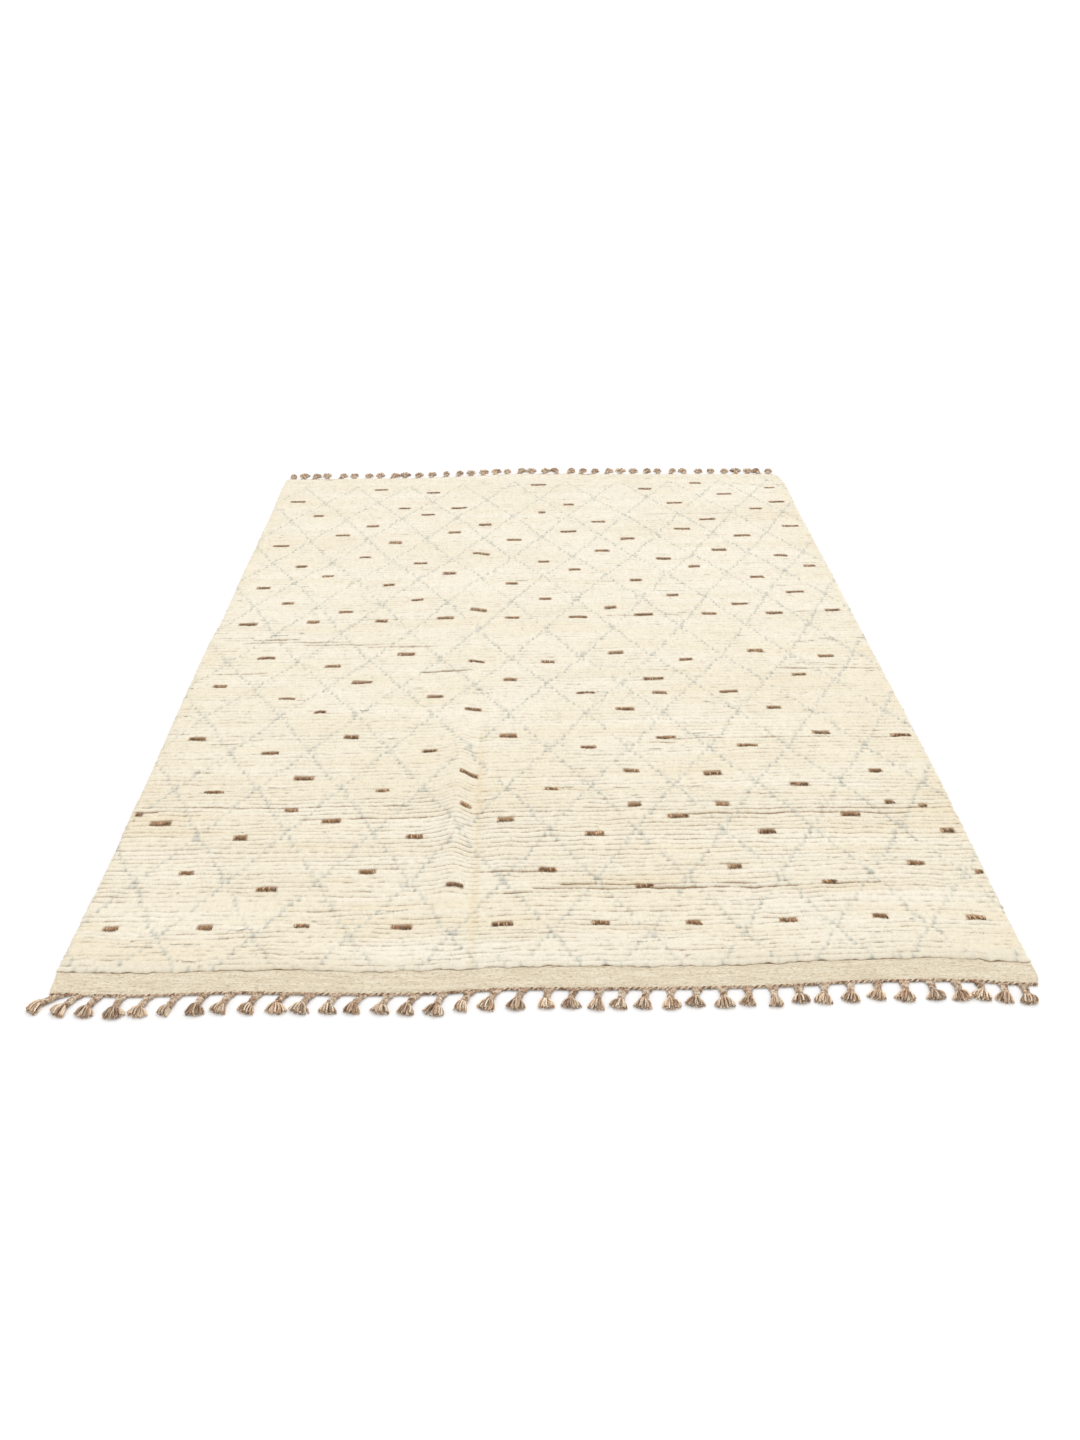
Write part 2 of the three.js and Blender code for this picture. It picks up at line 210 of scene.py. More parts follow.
def cloth_shell(name, across, along, height, under_height, under_rows, under_columns):
    """A closed layer of the cloth: a fine top, a coarser underside, and walls that sew the two rims."""
    rows, columns = across.shape
    low = np.ix_(under_rows, under_columns)
    x, y = cloth_place(across, along)
    top = np.stack([x, y, height], -1).reshape(-1, 3)
    under = np.stack([x[low], y[low], under_height[low]], -1).reshape(-1, 3)
    under_faces = grid_quads(len(under_rows), len(under_columns), len(top))[:, ::-1]
    walls = rim_walls(across.shape, under_rows, under_columns)
    faces = [grid_quads(rows, columns, 0), under_faces, walls]
    piece = mesh_piece(name, np.concatenate([top, under]), faces)

    mesh = piece.data
    on_rim = np.zeros(len(mesh.vertices), bool)
    on_rim[rim_of(rows, columns)] = True
    ends = np.empty(2 * len(mesh.edges), np.int32)
    mesh.edges.foreach_get("vertices", ends)
    sharp = on_rim[ends.reshape(-1, 2)].all(axis=1)
    mesh.attributes.new("sharp_edge", "BOOLEAN", "EDGE").data.foreach_set("value", sharp)

    map_across = np.concatenate([across.ravel(), across[low].ravel()]) / CLOTH_WIDTH + 0.5
    map_along = np.concatenate([along.ravel(), along[low].ravel()]) / CLOTH_LENGTH
    corner = np.empty(len(mesh.loops), np.int32)
    mesh.loops.foreach_get("vertex_index", corner)
    places = np.stack([map_across, map_along], -1)[corner].astype(np.float32)
    mesh.uv_layers.new(name="cloth").data.foreach_set("uv", places.ravel())
    return piece


def linear(red, green, blue):
    """A colour as the eye names it, 0 to 255, in the light values that a shader takes."""
    shares = np.array([red, green, blue], float) / 255
    return np.where(shares <= 0.04045, shares / 12.92, ((shares + 0.055) / 1.055) ** 2.4)


class Nodes:
    """A node tree under construction: adds nodes, sets their inputs and joins them."""

    def __init__(self, tree):
        self.tree = tree

    def node(self, kind, settings=None, **inputs):
        made = self.tree.nodes.new(kind)
        for key, value in (settings or {}).items():
            setattr(made, key, value)
        for key, value in inputs.items():
            self.feed(made, key.replace("_", " "), value)
        return made

    def feed(self, node, key, value):
        socket = node.inputs[key]
        if isinstance(value, bpy.types.NodeSocket):
            self.tree.links.new(value, socket)
        else:
            socket.default_value = value

    def math(self, operation, first, second=0.0):
        made = self.node("ShaderNodeMath", {"operation": operation})
        self.feed(made, 0, first)
        self.feed(made, 1, second)
        return made.outputs[0]

    def times(self, first, second):
        return self.math("MULTIPLY", first, second)

    def plus(self, first, second):
        return self.math("ADD", first, second)


class Finish(Nodes):
    """The finish of one kind of wool: a colour and a bump that nodes work out."""

    def __init__(self, name, roughness, sheen):
        self.material = bpy.data.materials.new(name)
        self.material.use_nodes = True
        super().__init__(self.material.node_tree)
        self.shader = self.tree.nodes["Principled BSDF"]
        self.feed(self.shader, "Roughness", roughness)
        self.feed(self.shader, "Specular IOR Level", 0.2)
        self.feed(self.shader, "Sheen Weight", sheen)
        self.feed(self.shader, "Sheen Roughness", 0.5)

    def noise(self, coordinates, stretch, detail, roughness):
        scaled = self.node("ShaderNodeMapping", Vector=coordinates, Scale=stretch).outputs[0]
        made = self.node("ShaderNodeTexNoise", Vector=scaled, Scale=1.0, Detail=detail, Roughness=roughness)
        return made.outputs["Fac"]

    def span(self, value, low, high, to_low, to_high):
        made = self.node("ShaderNodeMapRange", Value=value, From_Min=low, From_Max=high)
        self.feed(made, "To Min", to_low)
        self.feed(made, "To Max", to_high)
        return made.outputs[0]

    def blend(self, share, first, second):
        made = self.node("ShaderNodeMix", {"data_type": "RGBA"})
        self.feed(made, 0, share)
        for key, value in ((6, first), (7, second)):
            self.feed(made, key, value if isinstance(value, bpy.types.NodeSocket) else (*value, 1.0))
        return made.outputs[2]

    def darken(self, colour, share):
        grey = self.node("ShaderNodeCombineColor", Red=share, Green=share, Blue=share).outputs[0]
        made = self.node("ShaderNodeMix", {"data_type": "RGBA", "blend_type": "MULTIPLY"})
        for key, value in ((0, 1.0), (6, colour), (7, grey)):
            self.feed(made, key, value)
        return made.outputs[2]

    def attribute(self, name, output):
        return self.node("ShaderNodeAttribute", {"attribute_name": name}).outputs[output]

    def cloth_map(self):
        return self.node("ShaderNodeUVMap", {"uv_map": "cloth"}).outputs[0]

    def close(self, colour, height, depth):
        bump = self.node("ShaderNodeBump", Height=height, Strength=1.0, Distance=depth)
        self.feed(self.shader, "Base Color", colour)
        self.feed(self.shader, "Normal", bump.outputs[0])
        return self.material


BAND_WOOL = linear(229, 214, 186)
BAND_PALE = linear(247, 236, 212)
BAND_FLECK = linear(194, 175, 143)


def flat_weave_finish():
    """Weft-faced plain weave: short beads of yarn in close lines, painted shade between them, uneven in
    tone.
    """
    finish = Finish("flat_woven_wool", 0.94, 0.12)
    cloth = finish.cloth_map()
    axes = finish.node("ShaderNodeSeparateXYZ", Vector=cloth)
    line = finish.times(axes.outputs["Y"], CLOTH_LENGTH / WEFT_PITCH)
    drift = finish.noise(cloth, (30, 90, 1), 2.0, 0.5)
    line = finish.plus(line, finish.times(drift, 2.0))
    offset = finish.times(finish.math("MODULO", finish.math("FLOOR", line), 2.0), 0.5)
    bead = finish.times(axes.outputs["X"], CLOTH_WIDTH / WARP_PITCH)
    bead_round = finish.math("SINE", finish.times(finish.plus(bead, offset), 2 * math.pi))
    line_round = finish.math("SINE", finish.times(finish.math("FRACT", line), math.pi))
    weave = finish.times(finish.span(bead_round, -1, 1, 0.35, 1.0), line_round)
    grain = finish.noise(cloth, (380, 760, 1), 3.0, 0.7)
    height = finish.plus(finish.times(weave, 0.6), finish.times(grain, 0.7))
    streaks = finish.span(finish.noise(cloth, (26, 330, 1), 4.0, 0.7), 0.38, 0.66, 0.0, 1.0)
    stipple = finish.span(finish.noise(cloth, (170, 640, 1), 3.0, 0.65), 0.52, 0.68, 0.0, 0.8)
    tone = finish.blend(streaks, BAND_WOOL, BAND_PALE)
    tone = finish.blend(stipple, tone, BAND_FLECK)
    # Painted shade in the gaps between the beads and lines of weft, times the grain's uneven tone
    shade = finish.span(weave, 0.0, 0.7, 0.88, 1.0)
    shade = finish.times(shade, finish.span(grain, 0.3, 0.7, 0.80, 1.12))
    return finish.close(finish.darken(tone, shade), height, 0.0013)


def make_ground():
    """The whole cloth, with closer lines in the bare bands, whose ends are pressed a little thinner."""
    far_lines = CLOTH_LENGTH - np.array(FAR_BAND_LINES)
    steps = round((far_lines[0] - NEAR_BAND) / GROUND_STEP)
    middle_lines = np.linspace(NEAR_BAND, far_lines[0], steps)[1:-1]
    lines = np.concatenate([NEAR_BAND_LINES, middle_lines, far_lines])
    columns_across = np.linspace(-CLOTH_WIDTH / 2, CLOTH_WIDTH / 2, GROUND_COLUMNS + 1)
    along, across = np.meshgrid(lines, columns_across, indexing="ij")
    rows, columns = along.shape
    lift = cloth_lift(across, along)
    at_end = (along == lines[0]) | (along == lines[-1])
    bare = along < NEAR_BAND - 0.001
    lumps = BAND_LUMPS * uneven_field(rows, columns, *LUMP_REACH, 41) * bare
    height = np.where(at_end, GROUND_LIP, GROUND_TOP + lumps) + lift
    under = np.maximum(0.0, UNDERSIDE_SHARE * lift)
    return cloth_shell("woven_ground", across, along, height, under, np.arange(rows), np.arange(columns))


ground = make_ground()
ground.data.materials.append(flat_weave_finish())
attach(ground, "root")
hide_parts("rug_body")


# Knotted pile
# Cream wool tufts knotted onto the warps in cross rows and cut, so that each row stands a little over the
# next. Grey-blue knots draw a diamond lattice over it, with wool of a deeper tone where the pile parts.
PILE_ROWS = 176
ROW_KNOTS = 308
PILE_BANDS = 4
PILE_START = NEAR_BAND
PILE_END = CLOTH_LENGTH - FAR_BAND
ROW_PITCHES = {
    "along": (0.06, 0.20, 0.24, 0.34, 0.60, 0.75, 0.90, 1.15, 1.50, 2.00, 2.50, 3.00),
    "pitch": (
        0.0132, 0.0134, 0.0150, 0.0162, 0.0168, 0.0146, 0.0172, 0.0156, 0.0175, 0.0171, 0.0176, 0.0168,
    ),
}
PITCH_UNEVENNESS = 0.09
PITCH_LIMIT = 1.8
KNOT_PITCH = CLOTH_WIDTH / ROW_KNOTS
PILE_OVERHANG = 0.003
LIP_HEIGHT = 0.0157
BACK_HEIGHT = 0.0152
LIP_SHARE = 0.15
BACK_SHARE = 0.72
ROW_WANDER = 0.0019
ROW_RIPPLE = 0.0018
ROW_SWELL = 0.0004
LIP_JITTER = 0.0004
BACK_JITTER = 0.0006
KNOT_JITTER = 0.0007
KNOT_LUMPS = 0.0006
KNOT_GAP = 0.0009
UNDER_ROWS = 3
UNDER_KNOTS = 4
UNDER_CLEARANCE = 0.0002

pile_columns = np.linspace(-1, 1, 2 * ROW_KNOTS + 1) * (CLOTH_WIDTH / 2 + PILE_OVERHANG)


def place_rows():
    """Where each row starts. A weaver beats some rows down harder than others, so they are not even."""
    rng = np.random.default_rng(23)
    middle = np.linspace(PILE_START, PILE_END, PILE_ROWS)
    loose = 1 + PITCH_UNEVENNESS * np.clip(rng.standard_normal(PILE_ROWS), -PITCH_LIMIT, PITCH_LIMIT)
    starts = np.append(0.0, np.cumsum(read_line(ROW_PITCHES, "along", "pitch", middle) * loose))
    return PILE_START + starts / starts[-1] * (PILE_END - PILE_START)


row_starts = place_rows()
row_pitch = np.diff(row_starts)
row_middles = row_starts[:-1] + row_pitch / 2

# The lattice: its rows of nodes lie on two sets of columns by turns, and the weave carries them a little
# off an even drawing
COLUMN_PITCH = 0.2077
COLUMNS_DRAWN = 12
FIRST_COLUMN = {"A": -0.812, "B": -0.918}
SET_TURNS = "BA"
NODE_ROWS = (
    0.0, 0.157, 0.336, 0.525, 0.717, 0.885, 1.073, 1.236, 1.40,
    1.587, 1.795, 1.983, 2.143, 2.332, 2.531, 2.709, 2.893,
)
NARROWING_START = 0.5
FAR_NARROWING = 0.006
ROW_TILT = {"along": (1.0, 1.7, 2.2, 2.9), "rise": (0.0, 0.033, 0.033, 0.022)}
WARP_DRIFT = {
    "across": (-1.0, -0.6, 0.0, 0.35, 0.6, 0.8, 1.0),
    "share": (-0.1, 0.1, 0.6, 1.0, 0.9, 0.4, -0.5),
}
DRIFT_REACH = {"along": (0.5, 0.9, 1.7, 2.9), "drift": (0.0, 0.014, 0.019, 0.015)}
NEAR_DRIFT = {
    "across": (-1.0, -0.4, 0.0, 0.35, 0.55, 0.75, 1.0),
    "drift": (0.0, -0.012, 0.0, -0.004, -0.014, -0.024, -0.028),
}
NEAR_DRIFT_REACH = {"along": (0.20, 0.36), "share": (1.0, 0.0)}


def lattice_place(across, along):
    """Where the weave really carries a place of the evenly drawn lattice."""
    rise = read_line(ROW_TILT, "along", "rise", along)
    drift = read_line(WARP_DRIFT, "across", "share", across)
    drift = drift * read_line(DRIFT_REACH, "along", "drift", along)
    near_drift = read_line(NEAR_DRIFT, "across", "drift", across)
    drift = drift + near_drift * read_line(NEAR_DRIFT_REACH, "along", "share", along)
    return across * (1 - FAR_NARROWING * (along - NARROWING_START)) + drift, along + rise * across


def column_places(kind):
    """Where a set's columns stand across the cloth, with one beyond its left side."""
    return FIRST_COLUMN[kind] + COLUMN_PITCH * np.arange(-1, COLUMNS_DRAWN - 1)


def knot_at(across):
    """The knot that a place across the cloth falls on."""
    return int((across + CLOTH_WIDTH / 2) / KNOT_PITCH)


# Where brown wool is knotted in. The rows of dashes lie on the two sets of columns by turns too. Each has
# its place along the cloth, how far its dashes lie off that place, and each dash's side of it: + beyond it,
# - before it, 0 on it, . left out.
DASH_ROWS = (
    (0.183, 0.000, "0000000000"),
    (0.345, 0.033, "+-+-+-+-+"),
    (0.539, 0.035, "+-+-+-+-+-"),
    (0.731, 0.038, "-+-+-++-+"),
    (0.913, 0.033, "+-+-+-+-++"),
    (1.088, 0.000, ".0.0.0.0."),
    (1.217, 0.042, "+-+-+-+-+."),
    (1.399, 0.027, "+-+--+-+-"),
    (1.668, 0.000, "0000000000"),
    (1.771, 0.040, "+-+-+-+-+"),
    (1.981, 0.046, "-+-+-+-+-+"),
    (2.143, 0.035, "-+-+-+-+-"),
    (2.333, 0.041, "-+-+-+-+-+"),
    (2.510, 0.054, "+-+-.-.-+"),
    (2.678, 0.048, "+.--.-.-+-"),
    (2.828, 0.030, ".+-.+.-+."),
)
DASH_SIDES = {"+": 1, "0": 0, "-": -1}
DASH_WANDER = (0.004, 0.002)
DASH_IN_ROW = 0.4

# A dash has 5 to 8 knots, one less near the near end and one more over the far part
DASH_KNOTS = (5, 9)
SHORT_DASHES_BEFORE = 0.25
LONG_DASHES_FROM = 1.2

# Short dashes out of step with the rest: across, along, knots
STRAY_DASHES = (
    (-0.976, 0.610, 3), (-0.605, 0.627, 5), (-0.183, 0.621, 4), (0.228, 0.620, 5), (0.443, 0.622, 5),
    (0.845, 0.622, 3), (0.928, 0.614, 3), (0.984, 0.334, 3), (0.342, 1.179, 6), (0.929, 2.815, 6),
    (0.035, 2.565, 4),
)


def chart_dashes(rng):
    """Every dash as its row, first knot and number of knots."""
    places = []
    for turn, (middle, swing, sides) in enumerate(DASH_ROWS):
        for column, side in zip(column_places(SET_TURNS[turn % 2])[1:], sides):
            if side in DASH_SIDES:
                across, along = lattice_place(column, middle + swing * DASH_SIDES[side])
                place = (across + rng.normal(0, DASH_WANDER[0]), along + rng.normal(0, DASH_WANDER[1]))
                knots = int(rng.integers(*DASH_KNOTS))
                knots = knots - (along < SHORT_DASHES_BEFORE) + (along > LONG_DASHES_FROM)
                places.append((*place, knots))
    places.extend(STRAY_DASHES)
    dashes = []
    for across, along, knots in places:
        row = int(np.argmin(np.abs(row_starts[:-1] + DASH_IN_ROW * row_pitch - along)))
        dashes.append((row, round((across + CLOTH_WIDTH / 2) / KNOT_PITCH - knots / 2), knots))
    return dashes


CREAM = linear(238, 228, 206)
CREAM_PALE = linear(245, 238, 220)
CREAM_YELLOW = linear(232, 214, 176)
LATTICE_WOOL = linear(188, 191, 182)
# A darker grey of the lattice wool: painted shade where a knot shows at its row's foot
LATTICE_PAINTED_SHADE = linear(138, 140, 130)
# A dark warm wool: the deeper wool where the pile parts, and the painted shade in the valleys between rows
SHADE_AND_PARTING_WOOL = linear(140, 105, 66)
BROWN_WOOL = linear(150, 112, 76)

# Streaks of hand-dyed wool: strength, reach over the rows and along a row, seed. They are calmer towards
# the far end, and the cream is made paler there.
PALE_SHARE = 0.30
PALE_STREAKS = ((0.13, 3.0, 40.0, 5), (0.15, 0.5, 12.0, 6))
PALE_FAR = {"along": (0.1, 1.6), "share": (0.0, 0.45)}
YELLOW_SHARE = 0.11
YELLOW_STREAKS = ((0.09, 0.7, 22.0, 7), (0.06, 2.5, 9.0, 8))
STREAK_CALM = {"along": (0.4, 1.4), "share": (1.0, 0.62)}
YELLOW_MARGIN = 0.12
MARGIN_WIDTH = 0.07
# Painted shade along the fold's crease: a narrow yellower, darker streak of the cream
CREASE_PAINTED_SHADE = 0.40
CREASE_ACROSS = -0.150
CREASE_WIDTH = 0.009
CREASE_END = 1.1
CREASE_FADE = 0.3
TONE_MIXING = (0.020, 0.042)


def streaked(share, streaks, calm):
    """A share of another wool in every knot, with that wool's streaks."""
    for strength, row_reach, knot_reach, seed in streaks:
        share = share + strength * calm * uneven_field(PILE_ROWS, ROW_KNOTS, row_reach, knot_reach, seed)
    return share


def chart_cream():
    """The cream of every knot: streaked, yellower at both sides, painted shade along the fold's crease."""
    across = (np.arange(ROW_KNOTS) + 0.5) * KNOT_PITCH - CLOTH_WIDTH / 2
    calm = read_line(STREAK_CALM, "along", "share", row_middles)[:, None]
    pale = streaked(PALE_SHARE, PALE_STREAKS, calm)
    pale = pale + read_line(PALE_FAR, "along", "share", row_middles)[:, None]
    yellow = streaked(YELLOW_SHARE, YELLOW_STREAKS, calm)
    from_middle = np.abs(across) - (CLOTH_WIDTH / 2 - MARGIN_WIDTH)
    margin = np.clip(from_middle / MARGIN_WIDTH, 0, 1)[None, :]
    # The painted shade of the crease, fading out before the fold ends
    crease = np.exp(-((across - CREASE_ACROSS) / CREASE_WIDTH) ** 2)[None, :]
    crease = crease * np.clip((CREASE_END - row_middles) / CREASE_FADE, 0, 1)[:, None]
    yellow = yellow + YELLOW_MARGIN * margin + CREASE_PAINTED_SHADE * crease
    pale = np.clip(pale, 0, 1)[..., None]
    yellow = np.clip(yellow, 0, 1)[..., None]
    wool = CREAM * (1 - pale) + CREAM_PALE * pale
    return wool * (1 - yellow) + CREAM_YELLOW * yellow


# A speck is one knot of the lattice. Its sides show more where the rows lie open.
LATTICE_WANDER = 0.0014
LATTICE_FADE = {"along": (0.9, 1.3), "share": (1.0, 1.12)}
SPECK_COVER = (0.32, 0.9)
SPECKS_MISSING = 0.04
SPECKS_DOUBLE = 0.2
NODE_SPECKS = 3
NODE_SPREAD = 0.007
NODE_COVER = (0.3, 0.8)
OPEN_ROWS = 60
OPEN_SPECK_SIDE = 0.42
CLOSED_SPECK_SIDE = 0.3
LEANS = (-0.5, 0.5)


def tint_speck(colours, row, knot, cover):
    """One grey-blue knot. It shows at the foot and lip of its row and mostly hides behind the next."""
    if not (0 <= knot < ROW_KNOTS and 0 <= row < PILE_ROWS):
        return
    beside = OPEN_SPECK_SIDE if row < OPEN_ROWS else CLOSED_SPECK_SIDE
    # At the foot the knot takes the darker grey, painted shade in the valley before the next row
    for line, tone, share in ((0, LATTICE_PAINTED_SHADE, 0.9), (1, LATTICE_WOOL, 1.0), (2, LATTICE_WOOL, 0.65)):
        for column, part in ((2 * knot, beside), (2 * knot + 1, 1.0), (2 * knot + 2, beside)):
            mix = cover * share * part
            colours[3 * row + line, column] = colours[3 * row + line, column] * (1 - mix) + tone * mix


def draw_lattice(colours, rng):
    """Single grey-blue knots, one to a row, that climb from node to node and crowd a little at each."""
    fade = read_line(LATTICE_FADE, "along", "share", row_middles)
    for turn, (low, high) in enumerate(zip(NODE_ROWS, NODE_ROWS[1:])):
        for place in column_places(SET_TURNS[turn % 2]):
            start, end = lattice_place(place, low)[1], lattice_place(place, high)[1]
            share = (row_middles - start) / (end - start)
            for lean in LEANS:
                for row in np.nonzero((share >= 0) & (share < 1))[0]:
                    across = place + lean * COLUMN_PITCH * share[row] + rng.normal(0, LATTICE_WANDER)
                    knot = knot_at(lattice_place(across, row_middles[row])[0])
                    cover = rng.uniform(*SPECK_COVER) * (rng.random() > SPECKS_MISSING) * fade[row]
                    tint_speck(colours, row, knot, cover)
                    if rng.random() < SPECKS_DOUBLE:
                        tint_speck(colours, row, knot + int(rng.choice((-1, 1))), 0.5 * cover)
            node_row = int(np.argmin(np.abs(row_middles - start)))
            for _ in range(NODE_SPECKS):
                across = lattice_place(place + rng.normal(0, NODE_SPREAD), low)[0]
                speck_row = node_row + int(rng.integers(-1, 2))
                tint_speck(colours, speck_row, knot_at(across), rng.uniform(*NODE_COVER))


# Where the pile parts and shows deeper, warmer wool between two rows: its left and right ends, where it
# lies along the cloth at each, and how strongly it shows. Its tone is given at a row's foot and beside it.
PARTINGS = (
    (-1.0, -0.28, 1.552, 1.468, 0.62),
    (-0.97, -0.32, 1.527, 1.466, 0.52),
    (-1.0, -0.3, 0.624, 0.626, 0.45),
    (0.42, 1.0, 0.598, 0.601, 0.4),
    (0.30, 0.9, 0.574, 0.578, 0.45),
    (-0.6, -0.25, 0.581, 0.578, 0.35),
    (-0.15, 0.05, 0.374, 0.372, 1.0),
    (-0.13, 0.36, 0.293, 0.303, 0.95),
    (0.30, 0.78, 0.302, 0.309, 0.68),
    (0.02, 0.48, 0.319, 0.316, 0.8),
    (0.28, 1.0, 0.921, 0.931, 0.45),
    (-0.95, -0.78, 1.31, 1.31, 0.7),
    (-0.36, -0.18, 1.31, 1.31, 0.7),
    (0.68, 1.0, 1.31, 1.315, 0.7),
    (0.2, 0.5, 1.667, 1.687, 0.45),
    (0.8, 1.0, 1.697, 1.697, 0.7),
    (-0.5, -0.2, 1.835, 1.785, 0.5),
    (0.7, 1.0, 2.083, 2.083, 0.5),
    (0.38, 1.0, 2.54, 2.55, 0.42),
)
PARTING_DEPTH = 0.0026
PARTING_WIDTH = 0.0016
PARTING_FADE = 0.03
PARTING_TONE = (0.9, 0.5)
PARTING_LEVEL = 0.9
PARTING_PATCHES = 0.24


def part_rows():
    """How strongly the pile parts at the foot of each row, from 0 to 1."""
    parted = np.zeros((PILE_ROWS + 1, len(pile_columns)))
    patches = uneven_field(len(PARTINGS), len(pile_columns), 0.01, 9.0, 61)
    patchy = np.clip(PARTING_LEVEL + PARTING_PATCHES * patches, 0, 1.2)
    column = np.arange(len(pile_columns))
    for wave, (left, right, start, end, strength) in zip(patchy, PARTINGS):
        place = start + (end - start) * np.clip((pile_columns - left) / (right - left), 0, 1)
        inside = np.clip((pile_columns - left) / PARTING_FADE, 0, 1)
        inside = inside * np.clip((right - pile_columns) / PARTING_FADE, 0, 1)
        row = np.argmin(np.abs(row_starts[:, None] - place[None, :]), axis=0)
        parted[row, column] = np.maximum(parted[row, column], strength * inside * wave)
    return np.clip(parted, 0, 1)


# The first row's foot is a straighter, ragged line at the head of the slope that meets the bare band. Its
# painted shadow, a dark line where the pile meets the band, has a mean and an unevenness. The sides and
# the far end are rounded off.
FIRST_WANDER = 0.25
FIRST_WAVE = 0.0007
FIRST_RAGGED = 0.0017
FIRST_PAINTED_SHADE = (0.95, 0.25)
FIRST_RIM = 0.04
NEAR_SLOPE = 0.034
NEAR_RIM = 0.26
PILE_ROUNDING = 0.011
SIDE_RIM = 0.28
SIDE_RAGGED = 0.0010
FAR_ROUNDING = 0.6 * PILE_ROUNDING
FAR_RIM = 0.08

# How clearly the line between two rows shows: plain where the pile lies open, faint where it lies closed,
# with a soft and a broken unevenness along it. Its depth and its painted shade, a warm dark tone in the
# valley at the row's foot, have a least value and what a line that shows fully adds.
LINE_DEPTH = (0.0006, 0.0018)
LINE_PAINTED_SHADE = (0.24, 0.56)
LINE_PAINTED_SHADE_JITTER = 0.08
LINE_SHOWS = {
    "along": (0.06, 0.20, 0.34, 0.43, 0.60, 0.72, 1.00, 1.20, 1.80, 2.40, 3.00),
    "level": (0.46, 0.60, 0.74, 0.95, 0.88, 0.52, 0.42, 0.32, 0.27, 0.22, 0.22),
    "soft": (0.25, 0.25, 0.22, 0.20, 0.20, 0.20, 0.16, 0.12, 0.10, 0.08, 0.08),
    "broken": (0.34, 0.34, 0.30, 0.26, 0.26, 0.24, 0.24, 0.25, 0.26, 0.26, 0.30),
}


def uneven_rows(row_reach, column_reach, seed):
    """Soft unevenness over the foot of every row."""
    return uneven_field(PILE_ROWS + 1, len(pile_columns), row_reach, column_reach, seed)


def uneven_line(column_reach, seed):
    """Soft unevenness along the first row's foot."""
    return uneven_field(1, len(pile_columns), 0.01, column_reach, seed)[0]


def row_feet():
    """Where the foot of every row lies along the cloth, at each column."""
    wander = ROW_WANDER * uneven_rows(1.2, 34.0, 31) + ROW_RIPPLE * uneven_rows(0.5, 5.0, 32)
    foot = row_starts[:, None] + wander
    foot[0] = row_starts[0] + FIRST_WANDER * wander[0] + FIRST_WAVE * uneven_line(9.0, 36)
    foot[0] = foot[0] + FIRST_RAGGED * uneven_line(1.6, 37)
    return foot


def row_lines_show():
    """How clearly the line at the foot of every row shows, at each column."""
    level, soft, broken = (
        read_line(LINE_SHOWS, "along", key, row_starts)[:, None] for key in ("level", "soft", "broken")
    )
    shows = level + soft * uneven_rows(0.3, 13.0, 33) + broken * uneven_rows(0.3, 1.7, 35)
    return np.clip(shows, 0, 1.25)


def height_kept(along, from_side):
    """What share of its height the pile keeps near the two sides and the two ends."""
    side = np.maximum(np.sqrt(1 - (1 - from_side) ** 2), SIDE_RIM)
    from_far = np.clip((along[-1] - along) / FAR_ROUNDING, 0, 1)
    end = np.maximum(np.sqrt(1 - (1 - from_far) ** 2), FAR_RIM)
    slope = np.clip((along - along[0]) / NEAR_SLOPE, 0, 1)
    end = end * (NEAR_RIM + (1 - NEAR_RIM) * np.sin(slope * math.pi / 2))
    end[0] = FIRST_RIM
    return side * end


def lay_pile(parted):
    """Where the pile's lines lie: a foot, a lip and a back line to each row, two columns to a knot."""
    rng = np.random.default_rng(29)
    shape = (PILE_ROWS, len(pile_columns))
    foot = row_feet()
    shows = row_lines_show()
    swell = ROW_SWELL * uneven_rows(0.8, 22.0, 34)
    gap = np.arange(len(pile_columns)) % 2 == 0
    lumps = KNOT_LUMPS * rng.standard_normal(shape)
    lip = LIP_SHARE * row_pitch[:, None] + PARTING_WIDTH * parted[:-1]
    back = BACK_SHARE * row_pitch[:, None] - PARTING_WIDTH * parted[1:]

    along = np.zeros((3 * PILE_ROWS + 1, len(pile_columns)))
    along[0::3] = foot
    along[1::3] = foot[:-1] + lip + LIP_JITTER * rng.standard_normal(shape)
    along[2::3] = foot[:-1] + back + BACK_JITTER * rng.standard_normal(shape)
    height = np.zeros_like(along)
    height[0::3] = LIP_HEIGHT - LINE_DEPTH[0] - LINE_DEPTH[1] * shows - PARTING_DEPTH * parted
    height[1::3] = LIP_HEIGHT + swell[:-1] + lumps - KNOT_GAP * gap
    height[2::3] = BACK_HEIGHT + swell[:-1] + 0.7 * lumps - 0.5 * KNOT_GAP * gap

    from_side = np.clip((pile_columns[-1] - np.abs(pile_columns)) / PILE_ROUNDING, 0, 1)[None, :]
    height = GROUND_TOP + (height - GROUND_TOP) * height_kept(along, from_side)
    across = pile_columns + KNOT_JITTER * rng.standard_normal(along.shape) * (from_side > 0.2)
    ragged = SIDE_RAGGED * rng.standard_normal((len(along), 1)) * (from_side < 1)
    across = across + np.sign(pile_columns) * ragged

    # Painted shade in the valley at each row's foot, and the deeper wool where the pile parts and beside it
    row_shade_and_parting = np.zeros_like(along)
    uneven_shade = LINE_PAINTED_SHADE_JITTER * rng.standard_normal(shows.shape)
    row_shade_and_parting[0::3] = LINE_PAINTED_SHADE[0] + LINE_PAINTED_SHADE[1] * shows + uneven_shade + PARTING_TONE[0] * parted
    row_shade_and_parting[1::3] = PARTING_TONE[1] * parted[:-1]
    row_shade_and_parting[2::3] = PARTING_TONE[1] * parted[1:]
    # The first row's foot: a painted shadow line where the pile meets the bare band
    row_shade_and_parting[0] = FIRST_PAINTED_SHADE[0] + FIRST_PAINTED_SHADE[1] * uneven_line(2.2, 38)
    return across, along, height, np.clip(row_shade_and_parting, 0.0, 1.15)


